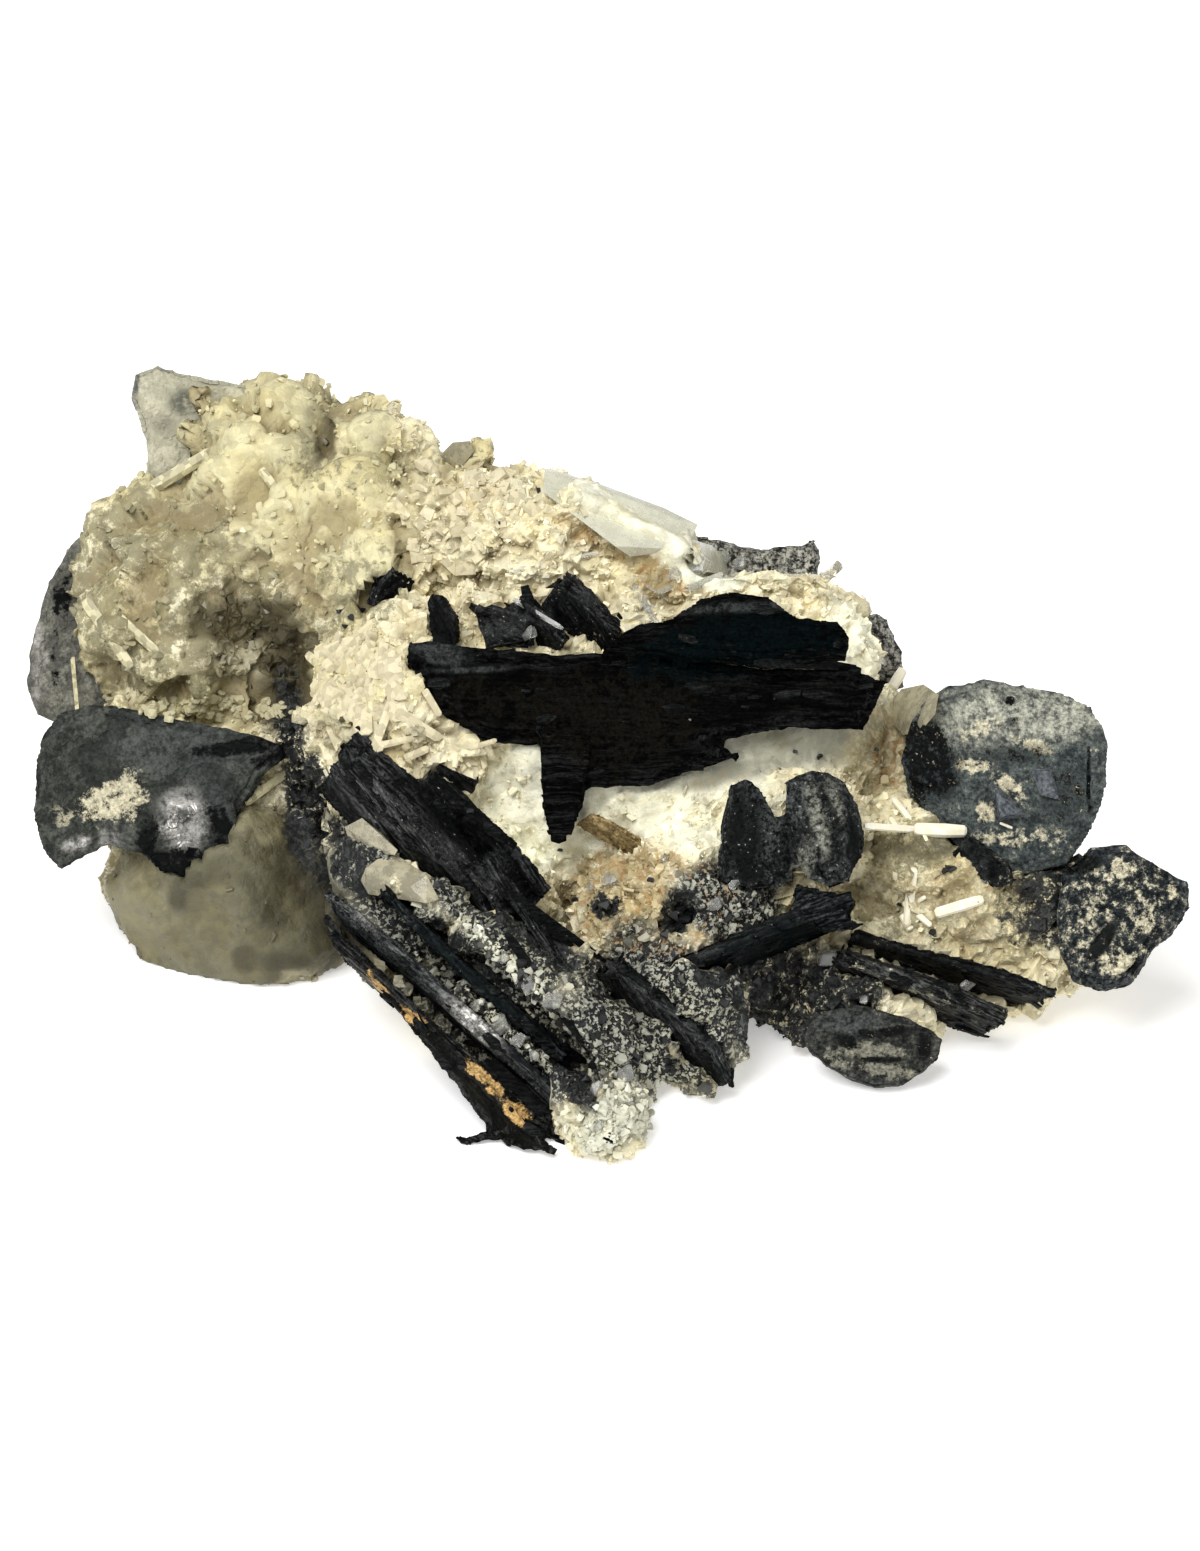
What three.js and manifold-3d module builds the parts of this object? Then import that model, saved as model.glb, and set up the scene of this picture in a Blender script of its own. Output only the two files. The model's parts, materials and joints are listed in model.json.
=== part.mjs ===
// Raw hematite specimen: black hematite plates and blades grown through a pale, sugary matrix of
// feldspar and calcite, with clear laths and white needles standing on it.
//
// Units are millimetres and +Z is up. The specimen stands on its flat broken base at z = 0, with the
// origin under the middle of its box, and its showy face leans back. Places on that face are given
// as [across, up, out]: to the right, along the leaning face, and towards the person looking at it.
import * as THREE from "three";
import { ImprovedNoise } from "three/addons/math/ImprovedNoise.js";
import { MeshSurfaceSampler } from "three/addons/math/MeshSurfaceSampler.js";
import { mergeVertices } from "three/addons/utils/BufferGeometryUtils.js";
import Module from "manifold-3d";

const wasm = await Module();
wasm.setup();

// Driving dimensions
const FACE_LEAN = 30; // degrees that the showy face leans back from upright
const FACE_HEIGHT = 16.2; // from the base up to the middle of the face
const SEAT_GAP = 0.3; // between a plate and the pocket that it grew in
const SLIVER = 0.5; // plate thicknesses
const THIN = 0.8;
const MEDIUM = 1.2;
const THICK = 1.8;
const ROUND_STEPS = 1.5; // points on a curved outline for each of its corners
const LEDGE_INSET = 0.55; // how far each growth step stands in from the one below
const LEDGE_RISE = 0.32; // how high each growth step stands
const BUMP_HEIGHT = 1.1; // of the matrix surface, over bumps of two sizes
const COARSE_BUMP = 5.5;
const FINE_BUMP = 2.3;
const CHIPS = 11; // flat broken faces round each lump
const CHIP_REACH = [0.74, 0.98]; // how far out they stand, as a share of the lump's half size
const GRAIN_COUNT = 12; // blocky crystals that crust the matrix
const GRAIN_SIZE = [0.8, 1.8];
const NEEDLE_SIDES = 6;
const FLOOR_SPAN = 200;

const HEMATITE = { color: 0x17191c, roughness: 0.42, metalness: 0.55 };
const DUSTY_HEMATITE = { color: 0x3b444b, roughness: 0.6, metalness: 0.35 };
const MATRIX = { color: 0xd9cfb2, roughness: 0.85, metalness: 0 };

// Lumps of matrix, as rough ellipsoids: centre and half sizes, with a turn in degrees on the face.
const LUMPS = [
  { at: [1, 3, -10], half: [18.4, 13.4, 10.6], detail: 2 }, // middle
  { at: [-2, -3, -18], half: [20, 14, 9], detail: 2 }, // back
  { at: [-20.6, 16.6, -15.5], half: [10.4, 9, 7.2], detail: 2 }, // upper left
  { at: [-15.8, 19.6, -13.6], half: [4.8, 4.2, 5], detail: 1 }, // upper left crest
  { at: [-27, 10.2, -16], half: [8, 9.6, 7.2], detail: 2 }, // left shoulder
  { at: [-16, 13.4, -9.5], half: [6.8, 6.8, 6.2], detail: 2 }, // saddle
  { at: [-19, 3, -13.5], half: [6.4, 7.4, 6.8], detail: 1 }, // shaded recess wall
  { at: [-23.2, -6.5, -13], half: [9.6, 7.8, 8], detail: 2 }, // lower left foot
  { at: [-3.7, 14.3, -8.5], half: [11.4, 5.1, 6.6], turn: -14, detail: 2 }, // top ridge
  { at: [9.9, 8.5, -8.5], half: [8.8, 5.2, 6.6], turn: -20, detail: 2 }, // right brow
  { at: [-12.5, 3.5, -5], half: [7, 8.2, 7], detail: 2 }, // left cheek
  { at: [-10.5, -6, -4.5], half: [6.6, 9.2, 7], turn: 40, detail: 1 }, // behind the blade stack
  { at: [-3.4, -15.2, 2.2], half: [4.6, 8.8, 5.4], turn: 42, detail: 2 }, // between the blades
  { at: [-0.1, -20.4, 7], half: [2.9, 4.2, 4.4], turn: 20, detail: 1 }, // front toe
  { at: [4, -9, -2.5], half: [7, 6.6, 6.6], detail: 2 }, // lower middle
  { at: [4.6, -15, 0.8], half: [4.8, 5, 5.4], detail: 1 }, // front wedge
  { at: [14.6, -12, -5], half: [6.8, 5.2, 5.4], detail: 1 }, // lower right
  { at: [22.1, -8, -5], half: [9.6, 7.2, 5.2], turn: -15, detail: 2 }, // sandy slab
  { at: [23.4, -0.4, -6.9], half: [6.8, 5.4, 3.8], detail: 1 }, // behind the right plate
  { at: [29.6, -8.6, -3.6], half: [4.2, 4.2, 2.8], detail: 1 }, // behind the right lobe
  { at: [16.2, -15, -2.4], half: [4.8, 3.4, 3.8], detail: 1 }, // behind the lower right plate
  { at: [11, -4, -3.5], half: [6.5, 5.5, 4.5], detail: 1 }, // bed of the round plates
  { at: [-30, 0.6, -11.4], half: [5.2, 4.6, 3.8], detail: 1 }, // behind the left plate
  { at: [-12, -13, -1], half: [8, 2, 3.2], turn: -44, detail: 1 }, // root of the outer blade
];

// Hollows in the matrix: the bowl under the main blade, the shaded recess on the left and small pits.
const HOLLOWS = [
  { at: [1.5, 4.4, 5.6], half: [15.5, 5.6, 5.4], detail: 1 },
  { at: [-21.5, 6.6, -7.2], half: [4.6, 3.6, 4.4], detail: 1 },
  { at: [-17.9, 21.1, -9], half: [1.1, 1.9, 2.4], detail: 1 },
  { at: [-0.4, -8.2, 3.6], half: [1.1, 0.9, 1.2], detail: 0 },
  { at: [4.6, -8.8, 3.6], half: [1.3, 1, 1.2], detail: 0 },
];

// Clear laths and cleavage blocks that stand on the matrix: length, width and depth.
const LATHS = [
  { at: [0.4, 15.6, -3.6], size: [9, 3.4, 2.6], spin: -24, lean: 24 },
  { at: [-27.6, 19, -10.6], size: [5.4, 1.1, 1.1], spin: 26, lean: 20 },
  { at: [-29.4, 8.6, -9.6], size: [4.6, 1.4, 1.2], spin: -32, lean: 10 },
  { at: [-26.6, 10, -9.8], size: [4.2, 1.2, 1.1], spin: 44, lean: 15 },
  { at: [-11.4, 18.2, -5], size: [4.6, 1.6, 1.6], spin: -38, lean: 15 },
  { at: [-9.6, 19, -7], size: [3.6, 2.4, 2.4], spin: 20, lean: 30 },
  { at: [-14.4, 5, 1], size: [4, 0.9, 0.9], spin: 58, lean: 10 },
  { at: [-15.6, 2.4, 0.6], size: [3.6, 0.9, 0.9], spin: -64, lean: 12 },
  { at: [10.2, 12.6, -3.4], size: [7, 0.7, 0.7], spin: 3, lean: 30 },
  { at: [13.7, 12.5, -3.6], size: [2.6, 0.9, 0.9], spin: 42, lean: 20 },
  { at: [19.2, 4, 0], size: [2.8, 2.4, 2.2], spin: 30, lean: 25 },
  { at: [-10.4, -7.4, 2], size: [3.4, 2.2, 2], spin: -40, lean: 20 },
];

// White needles lying on the sandy slab.
const NEEDLES = [
  { at: [18.8, -3.3, 0.5], length: 6.4, radius: 0.5, spin: -4, lift: 8 },
  { at: [18.9, -2.8, 0.9], length: 3.2, radius: 0.28, spin: -52, lift: 6 },
  { at: [18.8, -7.5, 0.2], length: 3.4, radius: 0.38, spin: 98, lift: 14 },
  { at: [21.8, -8.2, 0], length: 3, radius: 0.4, spin: 14, lift: 16 },
];

// Hematite crystals. Each is one or more sheets that touch, joined in one solid. A sheet's outline
// is drawn flat about its place; roll turns it in its own plane, lean tips it about its length (90
// stands it on edge), swing turns one end back and spin turns it on the face. Round sheets have
// curved outlines.
const CRYSTALS = {
  main_blade: {
    finish: HEMATITE,
    sheets: [
      {
        at: [2.6, 4.4, 0.5],
        thick: MEDIUM,
        swing: 3,
        ledges: 1,
        outline: [
          [-13.1, -0.6], [-14.6, 1.5], [-15.1, 3.4], [-14.6, 3.9], [-7.7, 3.4], [3.2, 3.1], [7, 2.3],
          [12.3, 2.5], [15, 1.5], [13.5, -1.7], [8.9, -1.5], [4.6, -2.3], [5.8, -3.3], [-0.1, -5.2],
          [-3.6, -5.2], [-6.7, -2.6], [-9.8, -2.5],
        ],
      },
      {
        at: [8, 8.9, 1.4],
        thick: MEDIUM,
        lean: -22,
        ledges: 1,
        outline: [
          [-8.4, -1.2], [-6.7, 0.3], [-4.2, 0.8], [-2.2, 2.2], [-0.3, 2.6], [2.2, 2.4], [4, 0.9], [6.5, 0.6],
          [7.3, -0.6], [6.9, -1.8], [1.6, -2.3], [-3.4, -1.8],
        ],
      },
      {
        at: [-2.8, -1, 1],
        thick: THICK,
        lean: 14,
        outline: [
          [-1.4, 4.2], [1.9, 3.6], [1.5, -0.4], [0.7, -2.6], [-0.2, -3.4], [-0.9, -2.8], [-1.3, -0.4],
        ],
      },
      {
        at: [-10.2, 7.5, 1.2],
        thick: THIN,
        lean: 20,
        outline: [[-2.3, -0.6], [-2.2, 0.9], [0.6, 0.8], [2.9, 0.1], [2.8, -0.9], [0, -0.7]],
      },
    ],
  },
  small_blade: {
    finish: HEMATITE,
    sheets: [
      {
        at: [-10.1, 10.4, -0.6],
        thick: MEDIUM,
        swing: -18,
        outline: [[-1.1, 0.2], [-0.8, 1.1], [0, 0.9], [1, -0.4], [0.9, -2.4], [-0.7, -2.4]],
      },
    ],
  },
  upper_blades: {
    finish: HEMATITE,
    sheets: [
      {
        at: [-6.6, 9.9, -1.1],
        thick: MEDIUM,
        lean: -12,
        outline: [[-1.8, 0.7], [-0.4, 0.9], [1.6, 0.4], [2.2, -1.8], [-1, -2.2]],
      },
      {
        at: [-4.2, 9.8, -0.8],
        thick: THIN,
        spin: -44,
        lean: 62,
        outline: [[-2.2, -3], [2.2, -3], [2.3, 0.6], [-1.8, 0.9]],
      },
      {
        at: [-1.2, 10.6, -1],
        thick: THICK,
        spin: -34,
        lean: 40,
        outline: [[-2.4, -2.4], [2.6, -2.4], [2.7, 0.2], [-0.2, 0.9], [-2.3, 1.2]],
      },
    ],
  },
  left_blade: {
    finish: HEMATITE,
    sheets: [
      {
        at: [-11.1, -4.3, 1.4],
        thick: THICK,
        spin: -49,
        lean: 52,
        roll: 3,
        ledges: 1,
        outline: [[-7.6, -3.6], [6.5, -3.6], [8, 0.4], [5, 2], [-4.4, 2.6], [-8.2, 1.9]],
      },
      {
        at: [-8.6, -3.6, 1.3],
        thick: MEDIUM,
        spin: -43,
        lean: 52,
        outline: [[-5, -5], [6, -5], [6.2, 1.2], [2.8, 2.2], [-4.4, 1.7]],
      },
      {
        at: [-3.6, -11, 2],
        thick: MEDIUM,
        spin: -57,
        lean: 82,
        roll: 4,
        outline: [[-7.5, -3], [6, -3], [6.8, 0.6], [2, 1.8], [-7, 1.5]],
      },
    ],
  },
  second_blade: {
    finish: HEMATITE,
    sheets: [
      {
        at: [-7.9, -12.7, 4],
        thick: THIN,
        spin: -41,
        lean: 96,
        roll: 10,
        outline: [[-7.4, -3], [6.4, -3], [7.4, 0.2], [5, 1.5], [-5.5, 1.2], [-8.4, 0.2]],
      },
    ],
  },
  grey_blade: {
    finish: DUSTY_HEMATITE,
    sheets: [
      {
        at: [-8.8, -14.8, 4.6],
        thick: THIN,
        spin: -43,
        lean: 82,
        roll: 14,
        ledges: 1,
        outline: [[-10.4, -3], [10, -4.4], [11.8, -1], [9, 1.4], [0, 1.7], [-9.5, 1.5], [-12, 0]],
      },
    ],
  },
  outer_blade: {
    finish: HEMATITE,
    sheets: [
      {
        at: [-9.9, -16.6, 3.4],
        thick: THIN,
        spin: -44,
        lean: 82,
        roll: 15,
        outline: [[-9.4, -3.4], [9.6, -3.4], [11.4, 0.2], [6, 2], [-4, 2.2], [-9.8, 1.4]],
      },
      {
        at: [-9.7, -15.2, 4.7],
        thick: THIN,
        spin: -43.5,
        lean: 8,
        swing: -22,
        outline: [
          [-11, -1.1], [-10.8, -1.6], [-5, -1.9], [1.5, -2.4], [7.2, -2.9], [9.6, -2.2], [11.2, -0.6],
        ],
      },
      {
        at: [-6.6, -22.2, 7],
        thick: THIN,
        spin: 8,
        lean: 40,
        outline: [[-2.6, -0.2], [-0.4, 0.6], [3.4, 1.2], [3.6, -0.9], [-1, -0.8]],
      },
    ],
  },
  ridge_blade: {
    finish: DUSTY_HEMATITE,
    sheets: [
      {
        at: [4, -15.2, 4.2],
        thick: MEDIUM,
        spin: -42,
        lean: 62,
        outline: [[-5.2, -4], [4.6, -4], [5.4, -0.4], [3, 1.4], [-5, 1.2]],
      },
    ],
  },
  cross_blade: {
    finish: HEMATITE,
    sheets: [
      {
        at: [9, -10.3, 3.4],
        thick: MEDIUM,
        spin: 22,
        lean: 76,
        outline: [[-6, -4], [6.2, -4], [7, 0.4], [3.6, 1.5], [-5.4, 1.1], [-6.6, 0.2]],
      },
      {
        at: [13.6, -8.2, 3.6],
        thick: MEDIUM,
        spin: -14,
        lean: 18,
        outline: [[-2.2, 0.9], [0.4, 1], [2.2, -0.8], [0.4, -1.6], [-2, -0.9]],
      },
    ],
  },
  round_plates: {
    finish: DUSTY_HEMATITE,
    sheets: [
      {
        at: [9.4, -3.7, 1.4],
        thick: MEDIUM,
        swing: 14,
        round: true,
        outline: [
          [-1.8, 3.2], [-0.2, 3.5], [0.8, 2], [2.4, -0.8], [2.3, -3], [0.6, -3.5], [-2.6, -3], [-2.5, -0.6],
        ],
      },
      {
        at: [13.6, -3.3, 1.7],
        thick: MEDIUM,
        swing: -10,
        lean: -8,
        round: true,
        ledges: 1,
        outline: [
          [-2.6, 3], [-0.4, 3.8], [1.4, 2.8], [2.5, 0.6], [2.4, -1.8], [1, -3.8], [-1.2, -3.2], [-2.2, -0.6],
        ],
      },
    ],
  },
  right_plate: {
    finish: DUSTY_HEMATITE,
    sheets: [
      {
        at: [25.3, 0.2, -3],
        thick: THICK,
        swing: 6,
        lean: -6,
        round: true,
        ledges: 1,
        outline: [
          [-6.6, 2.5], [-5, 5], [-1.7, 5.9], [2.4, 5.3], [5.2, 4.2], [6.3, 2.4], [6.3, -0.4], [5.5, -3],
          [3.6, -6], [-0.6, -6.6], [-4.6, -4], [-6.8, -0.4],
        ],
      },
      {
        at: [20.6, 1.4, -1.5],
        thick: MEDIUM,
        swing: 10,
        round: true,
        outline: [[-2.3, -0.6], [-1.4, 1.7], [0.7, 2.1], [2, 0.6], [1.3, -1.7], [-1.6, -2.1]],
      },
      {
        at: [25, -1.7, -1.5],
        thick: MEDIUM,
        lean: 12,
        outline: [[-1.4, 1.6], [1.8, -1], [-0.8, -1.2]],
      },
    ],
  },
  right_lobe: {
    finish: DUSTY_HEMATITE,
    sheets: [
      {
        at: [31.7, -9.1, -0.4],
        thick: THICK,
        swing: -8,
        lean: -14,
        ledges: 1,
        outline: [
          [-3.2, 3.2], [-1.4, 4.8], [1, 4.8], [2.7, 3.5], [4.8, 2.3], [4.9, 0.8], [3.7, -0.9], [2.5, -1.8],
          [2, -2.9], [1.1, -4.1], [-0.6, -4.6], [-2.6, -3.9], [-3.6, -1.6], [-3.6, 0.6],
        ],
      },
    ],
  },
  upper_stack_blade: {
    finish: HEMATITE,
    sheets: [
      {
        at: [21.3, -11.8, -0.2],
        thick: THIN,
        spin: -15,
        lean: 74,
        outline: [[-6.6, -4], [5.6, -4], [7.2, 0.2], [4, 1.4], [-6.4, 1]],
      },
    ],
  },
  lower_stack_blade: {
    finish: HEMATITE,
    sheets: [
      {
        at: [19.4, -13.2, 0.6],
        thick: MEDIUM,
        spin: -20,
        lean: 72,
        outline: [[-5.6, -4], [5, -4], [6, 0.4], [2.4, 1.6], [-5.4, 0.9]],
      },
    ],
  },
  lower_right_plate: {
    finish: DUSTY_HEMATITE,
    sheets: [
      {
        at: [16.6, -16.9, 1.6],
        thick: MEDIUM,
        lean: -16,
        round: true,
        outline: [
          [-4.5, 0.3], [-3.4, 2.2], [0, 2.6], [3.4, 1.2], [4.5, 0.2], [3.4, -1.6], [1, -2.7], [-1.2, -2.3],
          [-3.4, -1],
        ],
      },
    ],
  },
  left_plate: {
    finish: DUSTY_HEMATITE,
    sheets: [
      {
        at: [-29.6, -0.5, -7.6],
        thick: MEDIUM,
        swing: -6,
        round: true,
        ledges: 1,
        outline: [
          [-6.8, 0.6], [-5.8, 4], [-2.8, 5.2], [1, 4.4], [8, 3], [9.6, 2], [7.6, 0], [5.4, -3.6], [3, -5],
          [-0.6, -4.4], [-2.4, -4], [-5, -5.6], [-6.6, -3.4],
        ],
      },
      {
        at: [-26.4, -3.3, -6.4],
        thick: THIN,
        lean: 10,
        round: true,
        outline: [[-3.2, -1.6], [-1.2, 0.4], [2.8, 2.2], [3, -0.4], [1.6, -2.9], [-0.8, -3.2]],
      },
    ],
  },
  left_edge_plate: {
    finish: DUSTY_HEMATITE,
    sheets: [
      {
        at: [-33.1, 9.1, -15],
        thick: MEDIUM,
        swing: 10,
        round: true,
        outline: [
          [0.6, 7.7], [-2.4, 4.2], [-3.6, 0.8], [-4.3, -3.2], [-3.4, -5.6], [0, -6], [4, -4], [4.4, 2],
          [3, 6],
        ],
      },
    ],
  },
  top_left_plate: {
    finish: DUSTY_HEMATITE,
    sheets: [
      {
        at: [-26.5, 21.2, -15],
        thick: MEDIUM,
        swing: 8,
        outline: [
          [-3, -3.5], [-3.2, 0.4], [-4.2, 3], [-3.9, 4.6], [-2.4, 5.2], [0, 4.5], [5, 3.6], [5.6, 0],
          [3, -4],
        ],
      },
    ],
  },
  back_top_plate: {
    finish: DUSTY_HEMATITE,
    sheets: [
      {
        at: [9.6, 12.8, -10.4],
        thick: MEDIUM,
        swing: -6,
        outline: [
          [-4.8, 1.4], [-4, 2.6], [-2.4, 2.4], [0.2, 1.8], [2.6, 1.8], [3.6, 2.4], [4.1, 1.6], [4, -0.4],
          [2.4, -3], [-4, -3],
        ],
      },
    ],
  },
  tan_sliver: {
    finish: DUSTY_HEMATITE,
    sheets: [
      {
        at: [0.6, -3.3, 0.9],
        thick: SLIVER,
        spin: -31,
        lean: 50,
        outline: [[-2.3, -1.6], [2.1, -1.6], [2.4, 0], [1.6, 0.6], [-2.2, 0.2]],
      },
    ],
  },
  bed_sliver: {
    finish: HEMATITE,
    sheets: [
      {
        at: [-9.4, 0.1, 1.6],
        thick: SLIVER,
        spin: -14,
        lean: 58,
        outline: [[-1.3, -1.6], [1.4, -1.6], [1.5, 0.2], [-1.2, 0.6]],
      },
    ],
  },
  dark_knob: {
    finish: HEMATITE,
    sheets: [
      {
        at: [-14.1, 11.9, -3.4],
        thick: MEDIUM,
        spin: 66,
        lean: 40,
        outline: [[-1.4, -2], [1.2, -2], [1.5, 0.2], [0.2, 0.7], [-1.5, 0.4]],
      },
    ],
  },
  slab_rod: {
    finish: HEMATITE,
    sheets: [
      {
        at: [23.8, -5.4, 0.2],
        thick: MEDIUM,
        spin: -38,
        lean: 24,
        outline: [[-2.3, -1], [1.6, -1.1], [2.3, 0.1], [1.4, 0.8], [-2.2, 0.6]],
      },
    ],
  },
  right_sliver: {
    finish: DUSTY_HEMATITE,
    sheets: [
      {
        at: [16.4, 7.8, -9],
        thick: MEDIUM,
        swing: 24,
        outline: [[-2.6, 1.6], [0.6, 2.6], [1.4, 2.2], [2.5, 0], [2.6, -2.2], [1, -2.8], [-2.6, -2]],
      },
    ],
  },
};

const noise = new ImprovedNoise();

// A repeatable stream of numbers from 0 to 1.
function randomStream(seed) {
  let state = seed;
  return () => {
    state = (state * 1664525 + 1013904223) % 4294967296;
    return state / 4294967296;
  };
}

// A bump height from -1 to 1 at a place on the matrix, from bumps of two sizes.
function bump(place) {
  const at = (size) => noise.noise(place.x / size, place.y / size, place.z / size);
  return at(COARSE_BUMP) + 0.5 * at(FINE_BUMP);
}

// The flat broken faces round a lump, on a unit ball: a direction and how far out each one stands.
function chips(random) {
  const [near, far] = CHIP_REACH;
  return Array.from({ length: CHIPS }, () => ({
    direction: new THREE.Vector3(random() - 0.5, random() - 0.5, random() - 0.5).normalize(),
    reach: THREE.MathUtils.lerp(near, far, random()),
  }));
}

// A rough ellipsoid with broken faces, whose bumps have the same size on large and small lumps.
function lump({ at, half, turn = 0, detail }) {
  const geometry = new THREE.IcosahedronGeometry(1, detail);
  const centre = new THREE.Vector3(...at);
  const size = new THREE.Vector3(...half);
  const broken = chips(randomStream(Math.round(1000 + 37 * centre.x + 11 * centre.y)));
  const point = new THREE.Vector3();
  const normal = new THREE.Vector3();
  const position = geometry.attributes.position;
  for (let i = 0; i < position.count; i++) {
    point.fromBufferAttribute(position, i);
    for (const { direction, reach } of broken) {
      point.addScaledVector(direction, Math.min(0, reach - point.dot(direction)));
    }
    normal.copy(point).divide(size).normalize();
    point.multiply(size);
    point.addScaledVector(normal, BUMP_HEIGHT * bump(point.clone().add(centre)));
    position.setXYZ(i, point.x, point.y, point.z);
  }
  return geometry.rotateZ(THREE.MathUtils.degToRad(turn)).translate(...at);
}

// A turn that spins on the face after leaning about the length and swinging one end back.
function turned({ spin = 0, lean = 0, swing = 0 }) {
  const [x, y, z] = [lean, swing, spin].map(THREE.MathUtils.degToRad);
  return new THREE.Matrix4().makeRotationFromEuler(new THREE.Euler(x, y, z, "ZXY"));
}

// A clear lath: a slab with slanted cleavage ends.
function lath({ at, size, ...turns }) {
  const [length, width, depth] = size;
  const slant = 0.35 * width;
  const outline = new THREE.Shape([
    new THREE.Vector2(-length / 2 - slant, -width / 2),
    new THREE.Vector2(length / 2 - slant, -width / 2),
    new THREE.Vector2(length / 2 + slant, width / 2),
    new THREE.Vector2(-length / 2 + slant, width / 2),
  ]);
  return new THREE.ExtrudeGeometry(outline, { depth, bevelEnabled: false })
    .translate(0, 0, -depth / 2)
    .applyMatrix4(turned(turns))
    .translate(...at);
}

// A six-sided needle with its length along the face.
function needle({ at, length, radius, spin, lift }) {
  return new THREE.CylinderGeometry(radius * 0.8, radius, length, NEEDLE_SIDES)
    .rotateZ(-Math.PI / 2)
    .applyMatrix4(turned({ spin, swing: -lift }))
    .translate(...at);
}

// A sheet's outline as points, with a smooth closed curve through them if the sheet is round.
function outlinePoints({ outline, round = false, roll = 0 }) {
  const axis = new THREE.Vector3(0, 0, 1);
  const corners = outline.map(([across, up]) =>
    new THREE.Vector3(across, up, 0).applyAxisAngle(axis, THREE.MathUtils.degToRad(roll)),
  );
  if (!round) return corners.map(({ x, y }) => new THREE.Vector2(x, y));
  const curve = new THREE.CatmullRomCurve3(corners, true);
  const count = Math.round(ROUND_STEPS * corners.length);
  return curve.getPoints(count).slice(0, count).map(({ x, y }) => new THREE.Vector2(x, y));
}

// Moves each edge of a closed outline outwards, and meets its neighbours at the mitre.
function offsetOutline(points, distance) {
  const outward = THREE.ShapeUtils.isClockWise(points) ? -1 : 1;
  const edgeNormal = (from, to) =>
    new THREE.Vector2(to.y - from.y, from.x - to.x).normalize().multiplyScalar(outward);
  return points.map((point, i) => {
    const before = edgeNormal(points.at(i - 1), point);
    const after = edgeNormal(point, points[(i + 1) % points.length]);
    const mitre = before.clone().add(after);
    const stretch = Math.min(2 / Math.max(mitre.lengthSq(), 0.5), 2);
    return point.clone().addScaledVector(mitre, distance * stretch);
  });
}

// A flat slab with an outline, from its back to its front, turned and put in its place.
function slab(points, back, front, { at, ...turns }) {
  return new THREE.ExtrudeGeometry(new THREE.Shape(points), { depth: front - back, bevelEnabled: false })
    .translate(0, 0, back)
    .applyMatrix4(turned(turns))
    .translate(...at);
}

// A closed geometry as a solid that can be joined and cut.
function solid(geometry) {
  const bare = geometry.clone();
  bare.deleteAttribute("normal");
  bare.deleteAttribute("uv");
  const merged = mergeVertices(bare, 1e-4);
  return new wasm.Manifold(
    new wasm.Mesh({
      numProp: 3,
      vertProperties: merged.attributes.position.array,
      triVerts: new Uint32Array(merged.index.array),
    }),
  );
}

function joined(geometries) {
  return geometries.map(solid).reduce((whole, next) => whole.add(next));
}

// One sheet with its growth steps: each ledge is a smaller copy that stands further forward.
function sheetSolid(sheet) {
  const points = outlinePoints(sheet);
  const { thick, ledges = 0 } = sheet;
  const layers = Array.from({ length: 1 + ledges }, (_, step) =>
    slab(offsetOutline(points, -step * LEDGE_INSET), -thick / 2, thick / 2 + step * LEDGE_RISE, sheet),
  );
  return joined(layers);
}

// The pocket that a sheet grew in, with the seat gap all round.
function pocket(sheet) {
  const points = offsetOutline(outlinePoints(sheet), SEAT_GAP);
  const reach = sheet.thick / 2 + SEAT_GAP;
  return solid(slab(points, -reach, reach + (sheet.ledges ?? 0) * LEDGE_RISE, sheet));
}

// The largest single body of a solid, without crumbs that a cut has freed.
function mainBody(shape) {
  return shape.decompose().reduce((best, body) => (body.volume() > best.volume() ? body : best));
}

function surface(shape) {
  const { vertProperties, triVerts } = shape.getMesh();
  const geometry = new THREE.BufferGeometry()
    .setAttribute("position", new THREE.BufferAttribute(vertProperties, 3))
    .setIndex(new THREE.BufferAttribute(triVerts, 1));
  geometry.computeVertexNormals();
  return geometry;
}

// Blocky crystals strewn over a rock, each standing out of its surface at a chance angle.
function grains(rock) {
  const random = randomStream(7);
  const sampler = new MeshSurfaceSampler(new THREE.Mesh(surface(rock)));
  sampler.setRandomGenerator(random).build();
  const place = new THREE.Vector3();
  return Array.from({ length: GRAIN_COUNT }, () => {
    sampler.sample(place);
    const width = THREE.MathUtils.lerp(...GRAIN_SIZE, random());
    return lath({
      at: place.toArray(),
      size: [width * (1 + random()), width, width],
      spin: 360 * random(),
      lean: 90 * random(),
      swing: 90 * random(),
    });
  });
}

function mesh(name, shape, finish) {
  const made = new THREE.Mesh(surface(shape), new THREE.MeshStandardMaterial(finish));
  made.name = name;
  return made;
}

// The leaning face, which carries everything, and the ground below it in face coordinates.
const face = new THREE.Group();
face.rotation.x = THREE.MathUtils.degToRad(90 - FACE_LEAN);
face.position.z = FACE_HEIGHT;
face.updateMatrix();
const ground = solid(
  new THREE.BoxGeometry(FLOOR_SPAN, FLOOR_SPAN, FLOOR_SPAN)
    .translate(0, 0, -FLOOR_SPAN / 2)
    .applyMatrix4(face.matrix.clone().invert()),
);

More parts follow.
